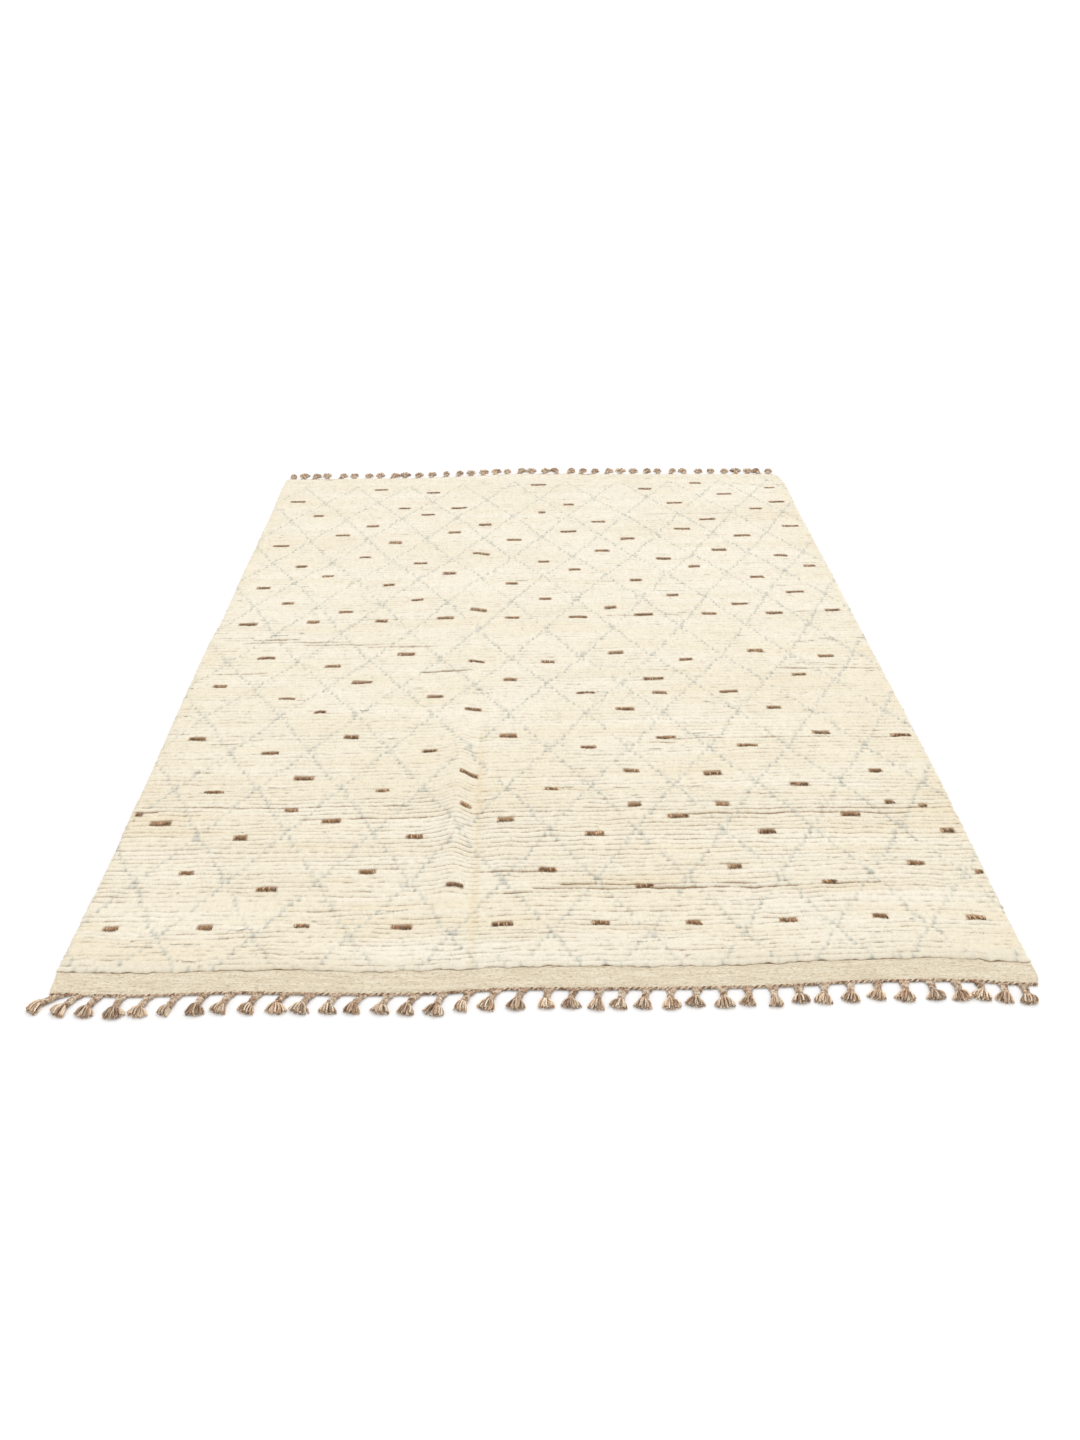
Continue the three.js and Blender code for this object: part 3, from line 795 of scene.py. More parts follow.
def spread_wool(wool):
    """Colours for the pile's lines and columns from the colour of each knot."""
    rng = np.random.default_rng(17)
    columns = np.empty((PILE_ROWS, 2 * ROW_KNOTS + 1, 3))
    columns[:, 1::2] = wool
    columns[:, 2:-1:2] = (wool[:, 1:] + wool[:, :-1]) / 2
    columns[:, 0] = wool[:, 0]
    columns[:, -1] = wool[:, -1]
    lines = np.empty((3 * PILE_ROWS + 1, *columns.shape[1:]))
    lines[1::3] = columns
    lines[2::3] = columns
    lines[0] = columns[0]
    lines[3:-1:3] = (columns[1:] + columns[:-1]) / 2
    lines[-1] = columns[-1]
    mixed = np.linspace(*TONE_MIXING, len(lines))[:, None, None]
    return lines * (1 + mixed * rng.standard_normal((*lines.shape[:2], 1)))


def pile_finish():
    """Cut wool: soft fibre clumps in each knot, painted shade between the rows, deeper wool at partings."""
    finish = Finish("cut_wool_pile", 0.96, 0.2)
    cloth = finish.cloth_map()
    fibres = finish.noise(cloth, (1500, 900, 1), 3.0, 0.65)
    clumps = finish.noise(cloth, (420, 420, 1), 2.0, 0.6)
    # The painted shade between the rows and the parting wool, mixed into each knot's colour
    deep = finish.times(finish.math("POWER", finish.attribute("row_shade_and_parting", "Fac"), 2.2), 0.8)
    tone = finish.blend(deep, finish.attribute("wool", "Color"), SHADE_AND_PARTING_WOOL)
    shade = finish.span(fibres, 0.3, 0.7, 0.92, 1.04)
    shade = finish.times(shade, finish.span(clumps, 0.3, 0.7, 0.95, 1.03))
    height = finish.plus(finish.times(fibres, 0.5), finish.times(clumps, 0.8))
    return finish.close(finish.darken(tone, shade), height, 0.0014)


def set_colours(mesh, colours):
    """The wool's own colour at every point."""
    values = np.ones((len(mesh.vertices), 4), np.float32)
    values[:, :3] = colours
    mesh.attributes.new("wool", "FLOAT_COLOR", "POINT").data.foreach_set("color", values.ravel())


def pile_band(number, first, last):
    """The pile of some rows as a closed layer on the ground, with its colours, painted shade and partings.
    """
    lines = slice(3 * first, 3 * last + 1)
    across, along = pile_across[lines], pile_along[lines]
    rows, columns = across.shape
    under_rows = np.append(np.arange(0, rows - 1, 3 * UNDER_ROWS), rows - 1)
    under_columns = np.arange(0, columns, 2 * UNDER_KNOTS)
    low = np.ix_(under_rows, under_columns)
    under_height = GROUND_TOP + UNDER_CLEARANCE + cloth_lift(across, along)
    name = f"pile_band_{number}"
    piece = cloth_shell(name, across, along, pile_height[lines], under_height, under_rows, under_columns)
    colours, row_shade_and_parting = pile_colours[lines], pile_row_shade_and_parting[lines]
    set_colours(piece.data, np.concatenate([colours.reshape(-1, 3), colours[low].reshape(-1, 3)]))
    row_shade_and_parting = np.concatenate([row_shade_and_parting.ravel(), row_shade_and_parting[low].ravel()]).astype(np.float32)
    piece.data.attributes.new("row_shade_and_parting", "FLOAT", "POINT").data.foreach_set("value", row_shade_and_parting)
    return piece


dash_rng = np.random.default_rng(47)
dashes = chart_dashes(dash_rng)
knot_wool = chart_cream()
for row, first, knots in dashes:
    knot_wool[row, max(first, 0):first + knots] = BROWN_WOOL
pile_colours = spread_wool(knot_wool)
draw_lattice(pile_colours, np.random.default_rng(73))
pile_across, pile_along, pile_height, pile_row_shade_and_parting = lay_pile(part_rows())
pile_height = pile_height + cloth_lift(pile_across, pile_along)
pile_material = pile_finish()
band_starts = np.linspace(0, PILE_ROWS, PILE_BANDS + 1).astype(int)
for number, (first, last) in enumerate(zip(band_starts, band_starts[1:]), start=1):
    piece = pile_band(number, first, last)
    piece.data.materials.append(pile_material)
    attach(piece, "root")
    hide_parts("rug_body")


# Brown dashes
# One short bar of brown knots near the middle of each diamond. Two cut ends of every knot stand about
# 2 mm over the cream and lean towards the near end.
DASH_WOOLS = np.array([
    linear(120, 88, 58), BROWN_WOOL, linear(182, 144, 104), linear(132, 110, 84), linear(212, 180, 142),
])
GREYED, FADED = 3, 4
FADED_AT_RIM = 0.5
FADED_INSIDE = 0.14
DASH_YARN = 0.0015
DASH_YARN_SIDES = 5
DASH_UNEVENNESS = 0.12
KNOT_TWIST = 0.009
FAR_DASHES_FROM = 65
FAR_DASH_YARN = 0.86
FAR_DASH_SLANT = 0.0016
FAR_DASH_TINT = np.array((1.14, 1.22, 1.32))
DASH_SLANT = 0.0014
DASH_BOW = 0.0011
END_SHIFT = 0.0009
RIM_END_MISSING = 0.3
INNER_END_MISSING = 0.07
RIM_END_REACH = (0.35, 0.75)
INNER_END_REACH = (0.75, 1.3)
END_TAPER = np.array((0.8, 1.0, 0.85))
# Painted light along each cut end: a painted highlight at its root, towards the light, and painted shade at
# its tip
END_LIGHT_AND_SHADE = np.array((1.5, 1.12, 0.6))[:, None]
TONE_RANGE = (0.75, 1.4)

# A cut end has three points: in its knot, at its bend and at its tip. Each lies off the pile's own lines
# by a fixed part and by parts that grow with how far the end leans across and reaches over the lip.
CUT_END = {
    "lean": np.array((0.0, 0.0008, 0.0014)),
    "along": np.array((0.0, 0.0022, 0.0)),
    "along_reach": np.array((0.0010, 0.0, -0.0020)),
    "up": np.array((-0.0012, 0.0, 0.0001)),
    "up_reach": np.array((0.0, 0.0010, 0.0)),
}


def yarn_tree():
    """A node group that lays round yarn along every line of points, with the twist kept as attributes."""
    tree = bpy.data.node_groups.new("round_yarn", "GeometryNodeTree")
    named = {"Lines": "Geometry", "Sides": "Int", "Unevenness": "Float", "Seed": "Int", "Finish": "Material"}
    for name, kind in named.items():
        tree.interface.new_socket(name, in_out="INPUT", socket_type=f"NodeSocket{kind}")
    tree.interface.new_socket("Yarn", in_out="OUTPUT", socket_type="NodeSocketGeometry")
    nodes = Nodes(tree)
    given = nodes.node("NodeGroupInput").outputs

    def keep(geometry, name, kind, value):
        """Stores a value on every point, where the finish can read it."""
        made = nodes.node("GeometryNodeStoreNamedAttribute", {"data_type": kind}, Name=name, Value=value)
        nodes.feed(made, "Geometry", geometry)
        return made.outputs["Geometry"]

    lines = nodes.node("GeometryNodeMeshToCurve", Mesh=given["Lines"]).outputs["Curve"]
    lines = keep(lines, "travel", "FLOAT", nodes.node("GeometryNodeSplineParameter").outputs["Length"])
    ring = nodes.node("GeometryNodeCurvePrimitiveCircle", Radius=1.0, Resolution=given["Sides"])
    place = nodes.node("GeometryNodeInputPosition").outputs["Position"]
    ring = keep(ring.outputs["Curve"], "round", "FLOAT_VECTOR", place)

    thickness = nodes.node("GeometryNodeInputNamedAttribute", {"data_type": "FLOAT"}, Name="thickness")
    random = nodes.node("FunctionNodeRandomValue", {"data_type": "FLOAT"}, Seed=given["Seed"])
    nodes.feed(random, 2, nodes.math("SUBTRACT", 1.0, given["Unevenness"]))
    nodes.feed(random, 3, nodes.plus(1.0, given["Unevenness"]))
    scale = nodes.times(thickness.outputs[0], random.outputs[1])

    yarn = nodes.node(
        "GeometryNodeCurveToMesh", Curve=lines, Profile_Curve=ring, Scale=scale, Fill_Caps=True,
    ).outputs["Mesh"]
    yarn = nodes.node("GeometryNodeSetShadeSmooth", Geometry=yarn).outputs["Geometry"]
    yarn = nodes.node("GeometryNodeRealizeInstances", Geometry=yarn).outputs["Geometry"]
    yarn = nodes.node("GeometryNodeSetMaterial", Geometry=yarn, Material=given["Finish"])
    nodes.node("NodeGroupOutput", Yarn=yarn.outputs["Geometry"])
    return tree


round_yarn = yarn_tree()


def yarn_piece(name, lines, sides, unevenness, seed, material):
    """One mesh of many yarns. Each line is its points, its half thickness and its colour at every point."""
    points = np.concatenate([line[0] for line in lines])
    thickness = np.concatenate([np.broadcast_to(line[1], len(line[0])) for line in lines])
    points[:, 2] = np.maximum(points[:, 2], thickness * (1 + unevenness))
    colours = np.concatenate([np.broadcast_to(line[2], (len(line[0]), 3)) for line in lines])
    last = np.cumsum([len(line[0]) for line in lines]) - 1
    start = np.delete(np.arange(len(points)), last)
    mesh = bpy.data.meshes.new(name)
    mesh.vertices.add(len(points))
    mesh.vertices.foreach_set("co", points.astype(np.float32).ravel())
    mesh.edges.add(len(start))
    mesh.edges.foreach_set("vertices", np.stack([start, start + 1], -1).astype(np.int32).ravel())
    thickness = thickness.astype(np.float32)
    mesh.attributes.new("thickness", "FLOAT", "POINT").data.foreach_set("value", thickness)
    set_colours(mesh, colours)
    piece = new_object(name, mesh)
    modifier = piece.modifiers.new("yarn", "NODES")
    modifier.node_group = round_yarn
    inputs = {"Sides": sides, "Unevenness": unevenness, "Seed": seed, "Finish": material}
    for socket in round_yarn.interface.items_tree:
        if socket.name in inputs:
            modifier[socket.identifier] = inputs[socket.name]
    graph = bpy.context.evaluated_depsgraph_get()
    finished = bpy.data.meshes.new_from_object(
        piece.evaluated_get(graph), preserve_all_data_layers=True, depsgraph=graph,
    )
    piece.modifiers.clear()
    piece.data = finished
    bpy.data.meshes.remove(mesh)
    finished.name = name
    return piece


def yarn_finish(name, twist_pitch, depth):
    """Plied wool yarn: two plies that wind round it, painted shade in the grooves between them, loose
    fibres.
    """
    finish = Finish(name, 0.92, 0.15)
    body = finish.node("ShaderNodeTexCoord").outputs["Object"]
    axes = finish.node("ShaderNodeSeparateXYZ", Vector=finish.attribute("round", "Vector"))
    angle = finish.math("ARCTAN2", axes.outputs["Y"], axes.outputs["X"])
    winding = finish.times(finish.attribute("travel", "Fac"), 2 * math.pi / twist_pitch)
    ply = finish.math("SINE", finish.times(finish.plus(angle, winding), 2.0))
    fibres = finish.noise(body, (1500, 1500, 1500), 3.0, 0.6)
    flecks = finish.noise(body, (330, 330, 330), 2.0, 0.6)
    # Painted shade in the grooves between the two plies
    shade = finish.span(ply, -1.0, 0.6, 0.78, 1.0)
    shade = finish.times(shade, finish.span(fibres, 0.3, 0.7, 0.86, 1.12))
    shade = finish.times(shade, finish.span(flecks, 0.35, 0.65, 0.82, 1.2))
    height = finish.plus(finish.span(ply, -1, 1, 0, 1), finish.times(fibres, 0.5))
    return finish.close(finish.darken(finish.attribute("wool", "Color"), shade), height, depth)


def cut_end(row, column, reach, shift, lean):
    """One cut end of a brown knot: it rises from its row's back and leans over its lip."""
    lines = (3 * row + 2, 3 * row + 1, 3 * row + 1)
    across = pile_across[lines, column] + CUT_END["lean"] * lean
    along = pile_along[lines, column] + CUT_END["along"] + CUT_END["along_reach"] * reach + shift
    height = pile_height[lines, column] + CUT_END["up"] + CUT_END["up_reach"] * reach
    x, y = cloth_place(across, along)
    return np.stack([x, y, height], -1)


def dash_yarns(dashes, rng):
    """Two cut ends for every brown knot. A dash slants or bows a little, and its rim is ragged."""
    lines = []
    for row, first, knots in dashes:
        brown = int(rng.choice((0, 0, 1, 1, 2)))
        far = row > FAR_DASHES_FROM
        slant = rng.normal(FAR_DASH_SLANT if far else 0, DASH_SLANT)
        yarn = DASH_YARN * (FAR_DASH_YARN if far else 1.0) * END_TAPER
        tint = FAR_DASH_TINT if far else 1.0
        bow = rng.normal(0, DASH_BOW)
        for end in range(2 * knots):
            at_rim = end in (0, 2 * knots - 1)
            if rng.random() < (RIM_END_MISSING if at_rim else INNER_END_MISSING):
                continue
            column = int(np.clip(2 * first + end + 1, 2, len(pile_columns) - 3))
            reach = rng.uniform(*(RIM_END_REACH if at_rim else INNER_END_REACH))
            lean = rng.normal(0, 1)
            from_middle = 2 * end / (2 * knots - 1) - 1
            shift = slant * from_middle + bow * (from_middle ** 2 - 0.4) + rng.normal(0, END_SHIFT)
            faded = rng.random() < (FADED_AT_RIM if at_rim else FADED_INSIDE)
            wool = DASH_WOOLS[FADED if faded else rng.choice((brown, brown + 1, brown, GREYED))]
            # The end's wool with a painted highlight at its root and painted shade at its tip
            wool_with_painted_light = wool * END_LIGHT_AND_SHADE * rng.uniform(*TONE_RANGE) * tint
            lines.append((cut_end(row, column, reach, shift, lean), yarn, wool_with_painted_light))
    return lines


dash_material = yarn_finish("brown_knot_wool", KNOT_TWIST, 0.0006)
cut_ends = dash_yarns(dashes, dash_rng)
dash_knots = yarn_piece("brown_dashes", cut_ends, DASH_YARN_SIDES, DASH_UNEVENNESS, 3, dash_material)
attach(dash_knots, "root")
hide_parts("rug_body")


# Twined edges
# The brown warps leave the cloth at each end, are held there by two twined yarns, and are gathered in
# bunches that widen like arches into the roots of the tassels.
TASSELS_PER_END = 39
CLOTH_GAP = 0.0006
STRIP_WIDTH = 0.007
ROOT_BULGE = 0.004
ROOT_REACH = CLOTH_GAP + STRIP_WIDTH + ROOT_BULGE
TASSEL_LENGTH = 0.053
TASSEL_UNEVENNESS = 0.004
TURN_UNEVENNESS = 6
SPACING_UNEVENNESS = 0.09
SIDE_SPACING = (0.72, 0.09)
TUFT_SPACING = 0.041
STRAIGHT_ROOT = 0.013
EDGE_POINTS = 401
EDGE_INSET = 0.001
TWINE_PITCH = 0.012
TWINE_STEPS = 8
TWINE_REACH = 0.0032
TWINE_YARN = 0.0017
TWINE_SWING = 0.0016
TWINE_WANDER = 0.0006
GATHERED = (-0.0135, -0.0095, -0.005, 0.005, 0.0095, 0.0135)
GATHERED_STEPS = 6
GATHERED_START = 0.0012
GATHERED_RUN = 0.007
GATHERED_CLOSING = 0.8
GATHERED_HEIGHT = 0.0026
GATHERED_RISE = 0.0028
GATHERED_ARCH = 0.0008
GATHERED_INSET = 0.002
GATHERED_WANDER = 0.0006
WARP_YARN = 0.0015
WARP_UNEVENNESS = 0.1
WARP_TWIST = 0.008
ENDS = (
    {
        "name": "near", "outward": -1, "along": 0.0, "salt": 11, "bare": 0.012,
        "loose": 10, "full": (0.92, 1.12),
        "across": (-0.975, -0.935, -0.860, -0.680, -0.420, 0.0, 0.450, 1.0),
        "turn": (-56, -26, -15, -11, -24, -16, -8, -8),
        "share": (1.2, 1.05, 1.05, 1.05, 1, 1, 0.94, 1),
        "pairing": (0, 0, 0, 0, 0, 0, 0, 0),
    },
    {
        "name": "far", "outward": 1, "along": CLOTH_LENGTH, "salt": 29, "bare": 0.0,
        "loose": 22, "full": (0.72, 1.15),
        "across": (-1.0, 0.0, 0.2, 1.0),
        "turn": (4, 6, 8, 6),
        "share": (0.9, 0.95, 1, 0.95),
        "pairing": (8, 6, 1, 1),
    },
)

# The warps' browns and greys, and how much of each a yarn takes
WARP_WOOLS = np.array([
    linear(202, 168, 138), linear(148, 116, 90), linear(234, 211, 183), linear(208, 186, 160),
    linear(244, 229, 205),
])
TWINE_SHARES = ((0.10, 0.05, 0.30, 0.20, 0.35), (0.30, 0.45, 0.10, 0.15, 0.0))
GATHERED_SHARES = (0.35, 0.3, 0.15, 0.15, 0.05)


def uneven(index, salt):
    """A repeatable uneven value from -1 to 1."""
    value = np.sin(index * 12.9898 + salt * 78.233) * 43758.5453
    return (value - np.floor(value)) * 2 - 1


def edge_line(end):
    """The cloth's own edge at one end: its x and y from the left side to the right side."""
    across = np.linspace(-CLOTH_WIDTH / 2, CLOTH_WIDTH / 2, EDGE_POINTS)
    return cloth_place(across, np.full_like(across, end["along"]))


def lay_tassels(end):
    """Root, length and turn of every tassel at one end, with the tufts kept apart."""
    index = np.arange(TASSELS_PER_END)
    from_side = np.minimum(index, TASSELS_PER_END - 1 - index)
    closer = np.minimum(1, SIDE_SPACING[0] + SIDE_SPACING[1] * from_side)
    steps = closer * (1 + SPACING_UNEVENNESS * uneven(index, end["salt"]))
    x, _ = edge_line(end)
    roots = x[0] + (np.cumsum(steps) - steps / 2) / steps.sum() * (x[-1] - end["bare"] - x[0])
    tassels = []
    tip_before = -10.0
    for i, root in enumerate(roots):
        pairing = read_line(end, "across", "pairing", root) * (1 if i % 2 == 0 else -1)
        loose = TURN_UNEVENNESS * uneven(i, end["salt"] + 1)
        degrees = read_line(end, "across", "turn", root) + pairing + loose
        length = read_line(end, "across", "share", root) * TASSEL_LENGTH
        length = length + TASSEL_UNEVENNESS * uneven(i, end["salt"] + 2)
        tip = max(root + length * math.sin(math.radians(degrees)), tip_before + TUFT_SPACING)
        tip_before = tip
        tassels.append({"root": root, "length": length, "turn": math.asin((tip - root) / length)})
    return tassels


def tassel_points(end, tassel, reach, side, height):
    """Points of one tassel from their reach out of its root, their offset to its side and their height."""
    reach, side, height = np.broadcast_arrays(reach, side, height)
    turn = tassel["turn"]
    square_to = turn * np.clip(reach / STRAIGHT_ROOT, 0, 1)
    run = tassel["length"] / TASSEL_LENGTH * reach
    outward = ROOT_REACH + run * math.cos(turn) - side * np.sin(square_to)
    x = tassel["root"] + run * math.sin(turn) + side * np.cos(square_to)
    line_x, line_y = edge_line(end)
    y = np.interp(tassel["root"], line_x, line_y) + end["outward"] * outward
    return np.stack([x, y, height], -1)


def mottled(rng, count, shares):
    """Colours along a yarn that change softly between the browns and greys of the warps."""
    picks = WARP_WOOLS[rng.choice(len(WARP_WOOLS), count, p=shares)]
    return picks * rng.uniform(0.9, 1.12)


def twined_pair(end, rng):
    """The two yarns that wind round each other along the cloth's edge, one dark and one pale."""
    x, y = edge_line(end)
    turns = round((x[-1] - x[0]) / TWINE_PITCH)
    run = np.linspace(x[0] + EDGE_INSET, x[-1] - EDGE_INSET, turns * TWINE_STEPS + 1)
    wander = TWINE_WANDER * uneven(np.arange(len(run)) // 5, 3)
    lines = []
    for half, shares in zip((0, math.pi), TWINE_SHARES):
        phase = np.arange(len(run)) * 2 * math.pi / TWINE_STEPS + half
        outward = TWINE_REACH + TWINE_SWING * np.cos(phase) + wander
        height = TWINE_YARN + TWINE_SWING * (1 + np.sin(phase))
        points = np.stack([run, np.interp(run, x, y) + end["outward"] * outward, height], -1)
        patches = np.repeat(mottled(rng, len(run) // 3 + 1, shares), 3, axis=0)[:len(run)]
        lines.append((points, TWINE_YARN, patches))
    return lines


def gathered_warps(end, tassel, rng):
    """The warps of one tassel, which run together from the edge into its root."""
    x, _ = edge_line(end)
    share = np.linspace(0, 1, GATHERED_STEPS)
    closing = GATHERED_CLOSING * np.sin(share * math.pi / 2) ** 1.5
    reach = (GATHERED_START - ROOT_REACH) * (1 - share ** 2) + GATHERED_RUN * share
    reach = reach / (tassel["length"] / TASSEL_LENGTH)
    height = GATHERED_HEIGHT + GATHERED_RISE * share + GATHERED_ARCH * np.sin(share * math.pi)
    lines = []
    for start in GATHERED:
        side = start * (1 - closing) + rng.normal(0, GATHERED_WANDER)
        points = tassel_points(end, tassel, reach, side, height)
        if start > 0:
            points[:, 0] = np.minimum(points[:, 0], x[-1] - GATHERED_INSET)
        else:
            points[:, 0] = np.maximum(points[:, 0], x[0] + GATHERED_INSET)
        lines.append((points, WARP_YARN, mottled(rng, len(share), GATHERED_SHARES)))
    return lines


warp_material = yarn_finish("mottled_warp_yarn", WARP_TWIST, 0.0006)
for end in ENDS:
    end["tassels"] = lay_tassels(end)
    rng = np.random.default_rng(200 + end["salt"])
    lines = twined_pair(end, rng)
    for tassel in end["tassels"]:
        lines.extend(gathered_warps(end, tassel, rng))
    piece = yarn_piece(f"twined_edge_{end['name']}", lines, 5, WARP_UNEVENNESS, 5, warp_material)
    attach(piece, "root")
    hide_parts(f"fringe_{end['name']}")


# Braided stems
# Each bunch of warps is braided in three flat strands for 3 cm and whipped once round at the neck.
STEM_REACH = 0.030
STEM_START = -0.004
BRAID_PITCH = 0.020
BRAID_STEPS = 15
BRAID_SWING = 0.0042
BRAID_RISE = 0.0019
BRAID_YARN = 0.0036
BRAID_UNEVENNESS = 0.06
BRAID_SHARES = (0.28, 0.18, 0.24, 0.16, 0.14)
BRAID_TONE = 0.92
ROOT_SPREAD = 0.0085
ROOT_THINNING = 0.22
SPREAD_ENDS = 0.008
NECK_YARN = 0.0012
NECK_STEPS = 15
NECK_BACK = 0.001
NECK_PITCH = 0.0012
NECK_WANDER = 0.0006
NECK_TURNS = 1.15
NECK_SIZE = (0.0074, 0.0058)
NECK_MIDDLE = 0.0062
NECK_SHARES = (0.4, 0.3, 0.1, 0.15, 0.05)


def braided_stem(end, tassel, rng):
    """Three strands that cross over and under, spread and pressed flat where they leave the edge."""
    reach = np.linspace(STEM_START, STEM_REACH, BRAID_STEPS)
    spread = np.clip((SPREAD_ENDS - reach) / (SPREAD_ENDS - STEM_START), 0, 1)
    spread = spread * spread * (3 - 2 * spread)
    offset = rng.uniform(0, 2 * math.pi)
    lines = []
    for strand in range(3):
        phase = 2 * math.pi * (reach / BRAID_PITCH + strand / 3) + offset
        side = (1 - spread) * BRAID_SWING * np.sin(phase) + spread * (strand - 1) * ROOT_SPREAD
        yarn = BRAID_YARN * (1 - ROOT_THINNING * spread) * rng.uniform(0.94, 1.04)
        height = yarn + BRAID_RISE * (1 + (1 - spread) * np.sin(2 * phase) - 0.6 * spread)
        points = tassel_points(end, tassel, reach, side, height)
        lines.append((points, yarn, BRAID_TONE * mottled(rng, len(reach), BRAID_SHARES)))
    return lines


def neck_whipping(end, tassel, rng):
    """The yarn that is wound once round the end of the braid."""
    around = np.linspace(0, 2 * NECK_TURNS * math.pi, NECK_STEPS) + rng.uniform(0, 2 * math.pi)
    reach = STEM_REACH - NECK_BACK + rng.normal(0, NECK_WANDER) + NECK_PITCH * np.linspace(-1, 1, NECK_STEPS)
    side = NECK_SIZE[0] * np.cos(around)
    height = np.maximum(NECK_MIDDLE + NECK_SIZE[1] * np.sin(around), NECK_YARN)
    points = tassel_points(end, tassel, reach, side, height)
    return points, NECK_YARN, mottled(rng, NECK_STEPS, NECK_SHARES)


for end in ENDS:
    rng = np.random.default_rng(300 + end["salt"])
    lines = []
    for tassel in end["tassels"]:
        lines.extend(braided_stem(end, tassel, rng))
        lines.append(neck_whipping(end, tassel, rng))
    piece = yarn_piece(f"braided_stems_{end['name']}", lines, 6, BRAID_UNEVENNESS, 7, warp_material)
    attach(piece, "root")
    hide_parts(f"fringe_{end['name']}")


# Tufts
# Beyond the neck the yarns of each tassel are loose and cut. They spread into a small fan that rests on
# the floor, fuller in some tassels than in others and often pushed to one side.
TUFT_START = 0.0285
TUFT_LENGTH = 0.0222
TUFT_LAYERS = ((0.0, 9), (0.33, 8), (0.66, 7), (1.0, 5))
TUFT_YARN = 0.0019
TUFT_TAPER = np.array((0.8, 1.0, 1.0, 1.0, 0.9))
TUFT_UNEVENNESS = 0.12
TUFT_HEIGHT = 0.0105
TUFT_STEPS = 5
TUFT_TINT = (1.06, 1.32)
NECK_HALF = 0.0052
CLOSED_TUFTS = 0.12
CLOSED_OPENING = (22, 32)
FAN_OPENING = (46, 66)
FAN_CURL = (0.4, 1.5)
PUSHED_BACK = 0.3
START_BEND = 0.84
LAYER_CLOSING = 0.2
LAYER_SHORTENING = 0.07
CROWN_FALL = 0.3
NECK_LIFT = 0.0012
PLACE_SCATTER = 0.06
BEND_SCATTER = 0.07
LENGTH_SCATTER = 0.035
HEIGHT_SCATTER = 0.0005
TUFT_MOTTLE = 0.25
TUFT_SHARES = (0.25, 0.25, 0.22, 0.13, 0.15)
PALE_YARN_SHARES = (0.22, 0.08, 0.34, 0.12, 0.24)
DARK_YARN_SHARES = (0.28, 0.42, 0.10, 0.15, 0.05)


def loose_tuft(end, tassel, rng):
    """Yarn ends of much the same length that leave the neck at all angles, so that they end in an arc."""
    share = np.linspace(0, 1, TUFT_STEPS)
    step = 1 / (TUFT_STEPS - 1)
    closed = rng.random() < CLOSED_TUFTS
    opening = math.radians(rng.uniform(*(CLOSED_OPENING if closed else FAN_OPENING)))
    skew = math.radians(rng.normal(0, end["loose"])) - PUSHED_BACK * tassel["turn"]
    curl = 0.0 if closed else rng.uniform(*FAN_CURL)
    tint = rng.uniform(*TUFT_TINT)
    full = rng.uniform(*end["full"])
    turning = START_BEND - curl * (share[1:] - step / 2 - 0.5)
    dome = TUFT_HEIGHT * (0.72 + 0.5 * np.sin(share * 2.3) - 0.36 * share ** 2)
    lines = []
    for layer, count in TUFT_LAYERS:
        for k in range(count):
            place = np.clip((k + 0.5) / count * 2 - 1 + rng.normal(0, PLACE_SCATTER), -1, 1)
            angle = skew + place * opening * (1 - LAYER_CLOSING * layer)
            bend = angle * turning + rng.normal(0, BEND_SCATTER, TUFT_STEPS - 1)
            length = 1 - LAYER_SHORTENING * layer + rng.normal(0, LENGTH_SCATTER)
            length = TUFT_LENGTH * full * length * step
            reach = TUFT_START + length * np.append(0.0, np.cumsum(np.cos(bend)))
            side = place * NECK_HALF + length * np.append(0.0, np.cumsum(np.sin(bend)))
            crown = layer * (1 - CROWN_FALL * place ** 2) * dome
            height = TUFT_YARN + crown + NECK_LIFT * (1 - share) + rng.normal(0, HEIGHT_SCATTER)
            points = tassel_points(end, tassel, reach, side, height)
            tone = TUFT_MOTTLE * mottled(rng, len(share), TUFT_SHARES)
            shares = DARK_YARN_SHARES if k % 2 else PALE_YARN_SHARES
            wool = WARP_WOOLS[rng.choice(len(WARP_WOOLS), p=shares)]
            lines.append((points, TUFT_YARN * TUFT_TAPER, tint * (tone + (1 - TUFT_MOTTLE) * wool)))
    return lines


for end in ENDS:
    rng = np.random.default_rng(400 + end["salt"])
    lines = []
    for tassel in end["tassels"]:
        lines.extend(loose_tuft(end, tassel, rng))
    piece = yarn_piece(f"cut_tufts_{end['name']}", lines, 5, TUFT_UNEVENNESS, 9, warp_material)
    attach(piece, "root")
    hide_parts(f"fringe_{end['name']}")


# Floor and light
# A plain pale floor under even light from all round and one broad soft light from above the far end.
FLOOR_HALF = 400.0
FLOOR_TOP = -0.0003
FLOOR_TONE = 0.93
WORLD_STRENGTH = 0.86
LAMP_ENERGY = 1.1
LAMP_SPREAD = math.radians(50)
LAMP_AIM = (-0.25, -0.75, -1.25)

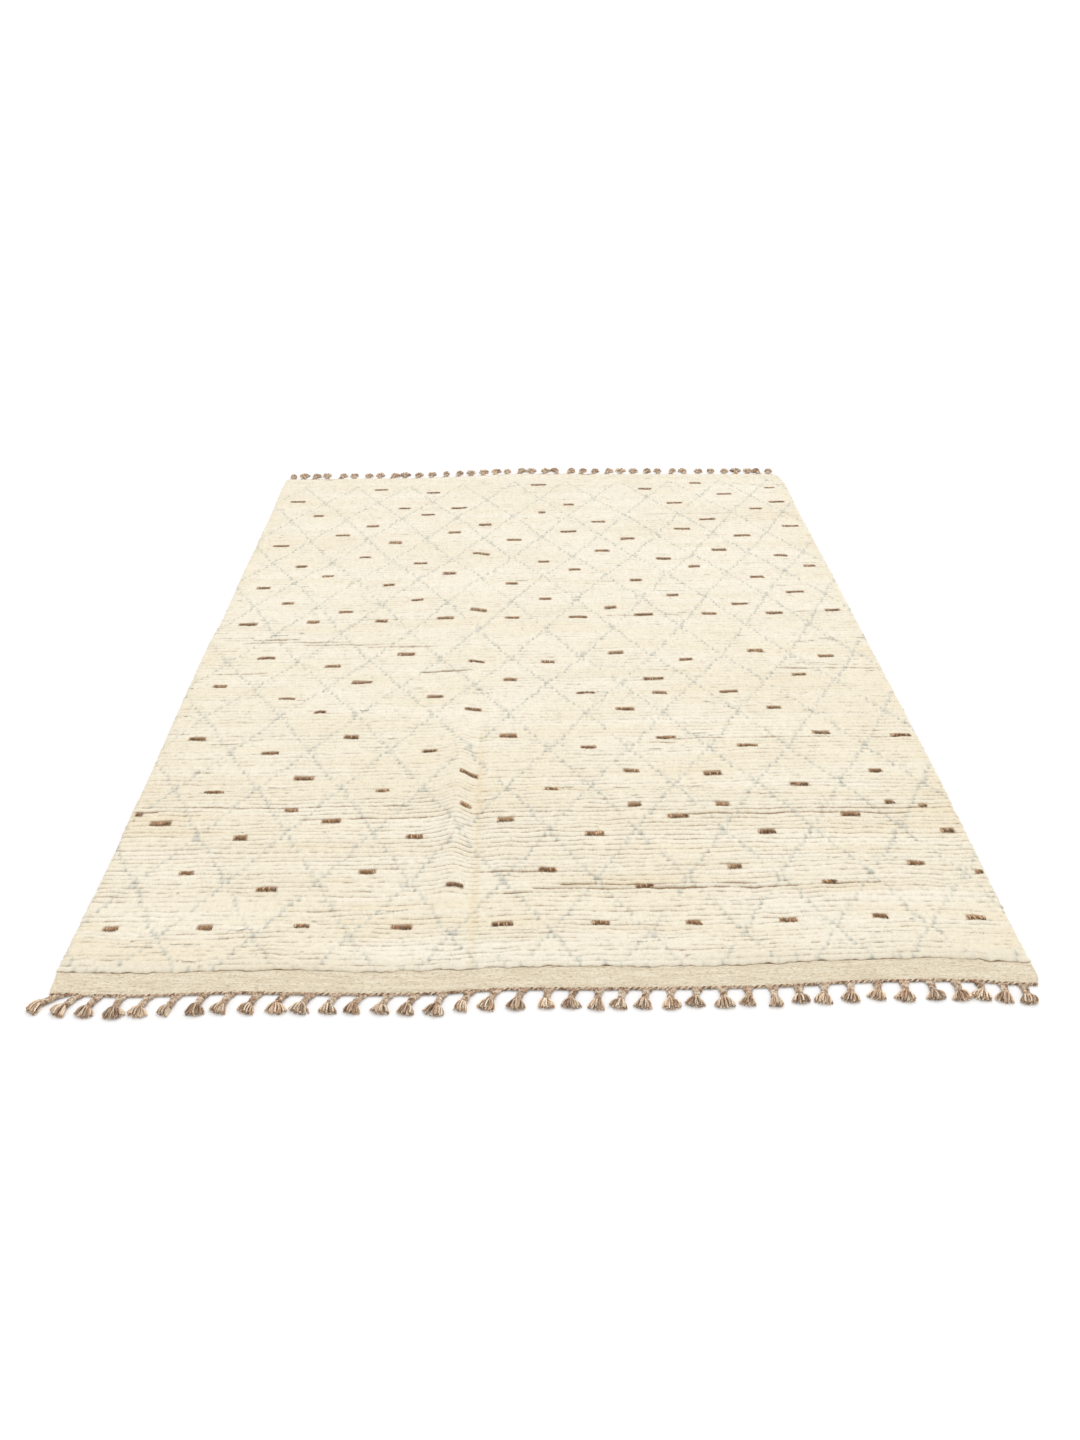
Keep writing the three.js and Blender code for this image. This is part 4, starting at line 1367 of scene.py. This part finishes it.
floor_mesh = bpy.data.meshes.new("pale_floor")
floor_square = ((-1, -1), (1, -1), (1, 1), (-1, 1))
floor_corners = [(x * FLOOR_HALF, y * FLOOR_HALF, FLOOR_TOP) for x, y in floor_square]
floor_mesh.from_pydata(floor_corners, [], [(0, 1, 2, 3)])
floor = new_object("pale_floor", floor_mesh)
floor_finish = Finish("pale_floor", 0.9, 0.0)
floor_finish.feed(floor_finish.shader, "Base Color", (FLOOR_TONE, FLOOR_TONE, FLOOR_TONE, 1))
floor_mesh.materials.append(floor_finish.material)

world = bpy.data.worlds.new("studio")
world.use_nodes = True
world.node_tree.nodes["Background"].inputs["Color"].default_value = (1, 1, 1, 1)
world.node_tree.nodes["Background"].inputs["Strength"].default_value = WORLD_STRENGTH
bpy.context.scene.world = world
lamp_data = bpy.data.lights.new("broad_soft_light", "SUN")
lamp_data.energy = LAMP_ENERGY
lamp_data.angle = LAMP_SPREAD
lamp = new_object("broad_soft_light", lamp_data)
lamp.rotation_euler = Vector(LAMP_AIM).to_track_quat("-Z", "Y").to_euler()
bpy.context.scene.view_settings.view_transform = "Standard"
bpy.context.scene.view_settings.look = "None"


# Camera
# A standing person's view of the whole rug from just beyond its near end, tipped down at it.
CAMERA_PLACE = (-0.0272, -3.3766, 1.7577)
CAMERA_TURN_RIGHT = math.radians(0.634)
CAMERA_TIP_DOWN = math.radians(30.92)
CAMERA_ROLL = math.radians(-0.297)
LENS_MM = 31.04
SENSOR_MM = 36.0

camera_data = bpy.data.cameras.new("view_camera")
camera_data.lens = LENS_MM
camera_data.sensor_width = SENSOR_MM
camera = new_object("view_camera", camera_data)
ahead = Vector((
    math.sin(CAMERA_TURN_RIGHT) * math.cos(CAMERA_TIP_DOWN),
    math.cos(CAMERA_TURN_RIGHT) * math.cos(CAMERA_TIP_DOWN),
    -math.sin(CAMERA_TIP_DOWN),
))
level_right = Vector((math.cos(CAMERA_TURN_RIGHT), -math.sin(CAMERA_TURN_RIGHT), 0))
level_up = level_right.cross(ahead)
right = level_right * math.cos(CAMERA_ROLL) + level_up * math.sin(CAMERA_ROLL)
up = right.cross(ahead)
camera.matrix_world = Matrix.Translation(CAMERA_PLACE) @ Matrix((right, up, -ahead)).transposed().to_4x4()
bpy.context.scene.camera = camera
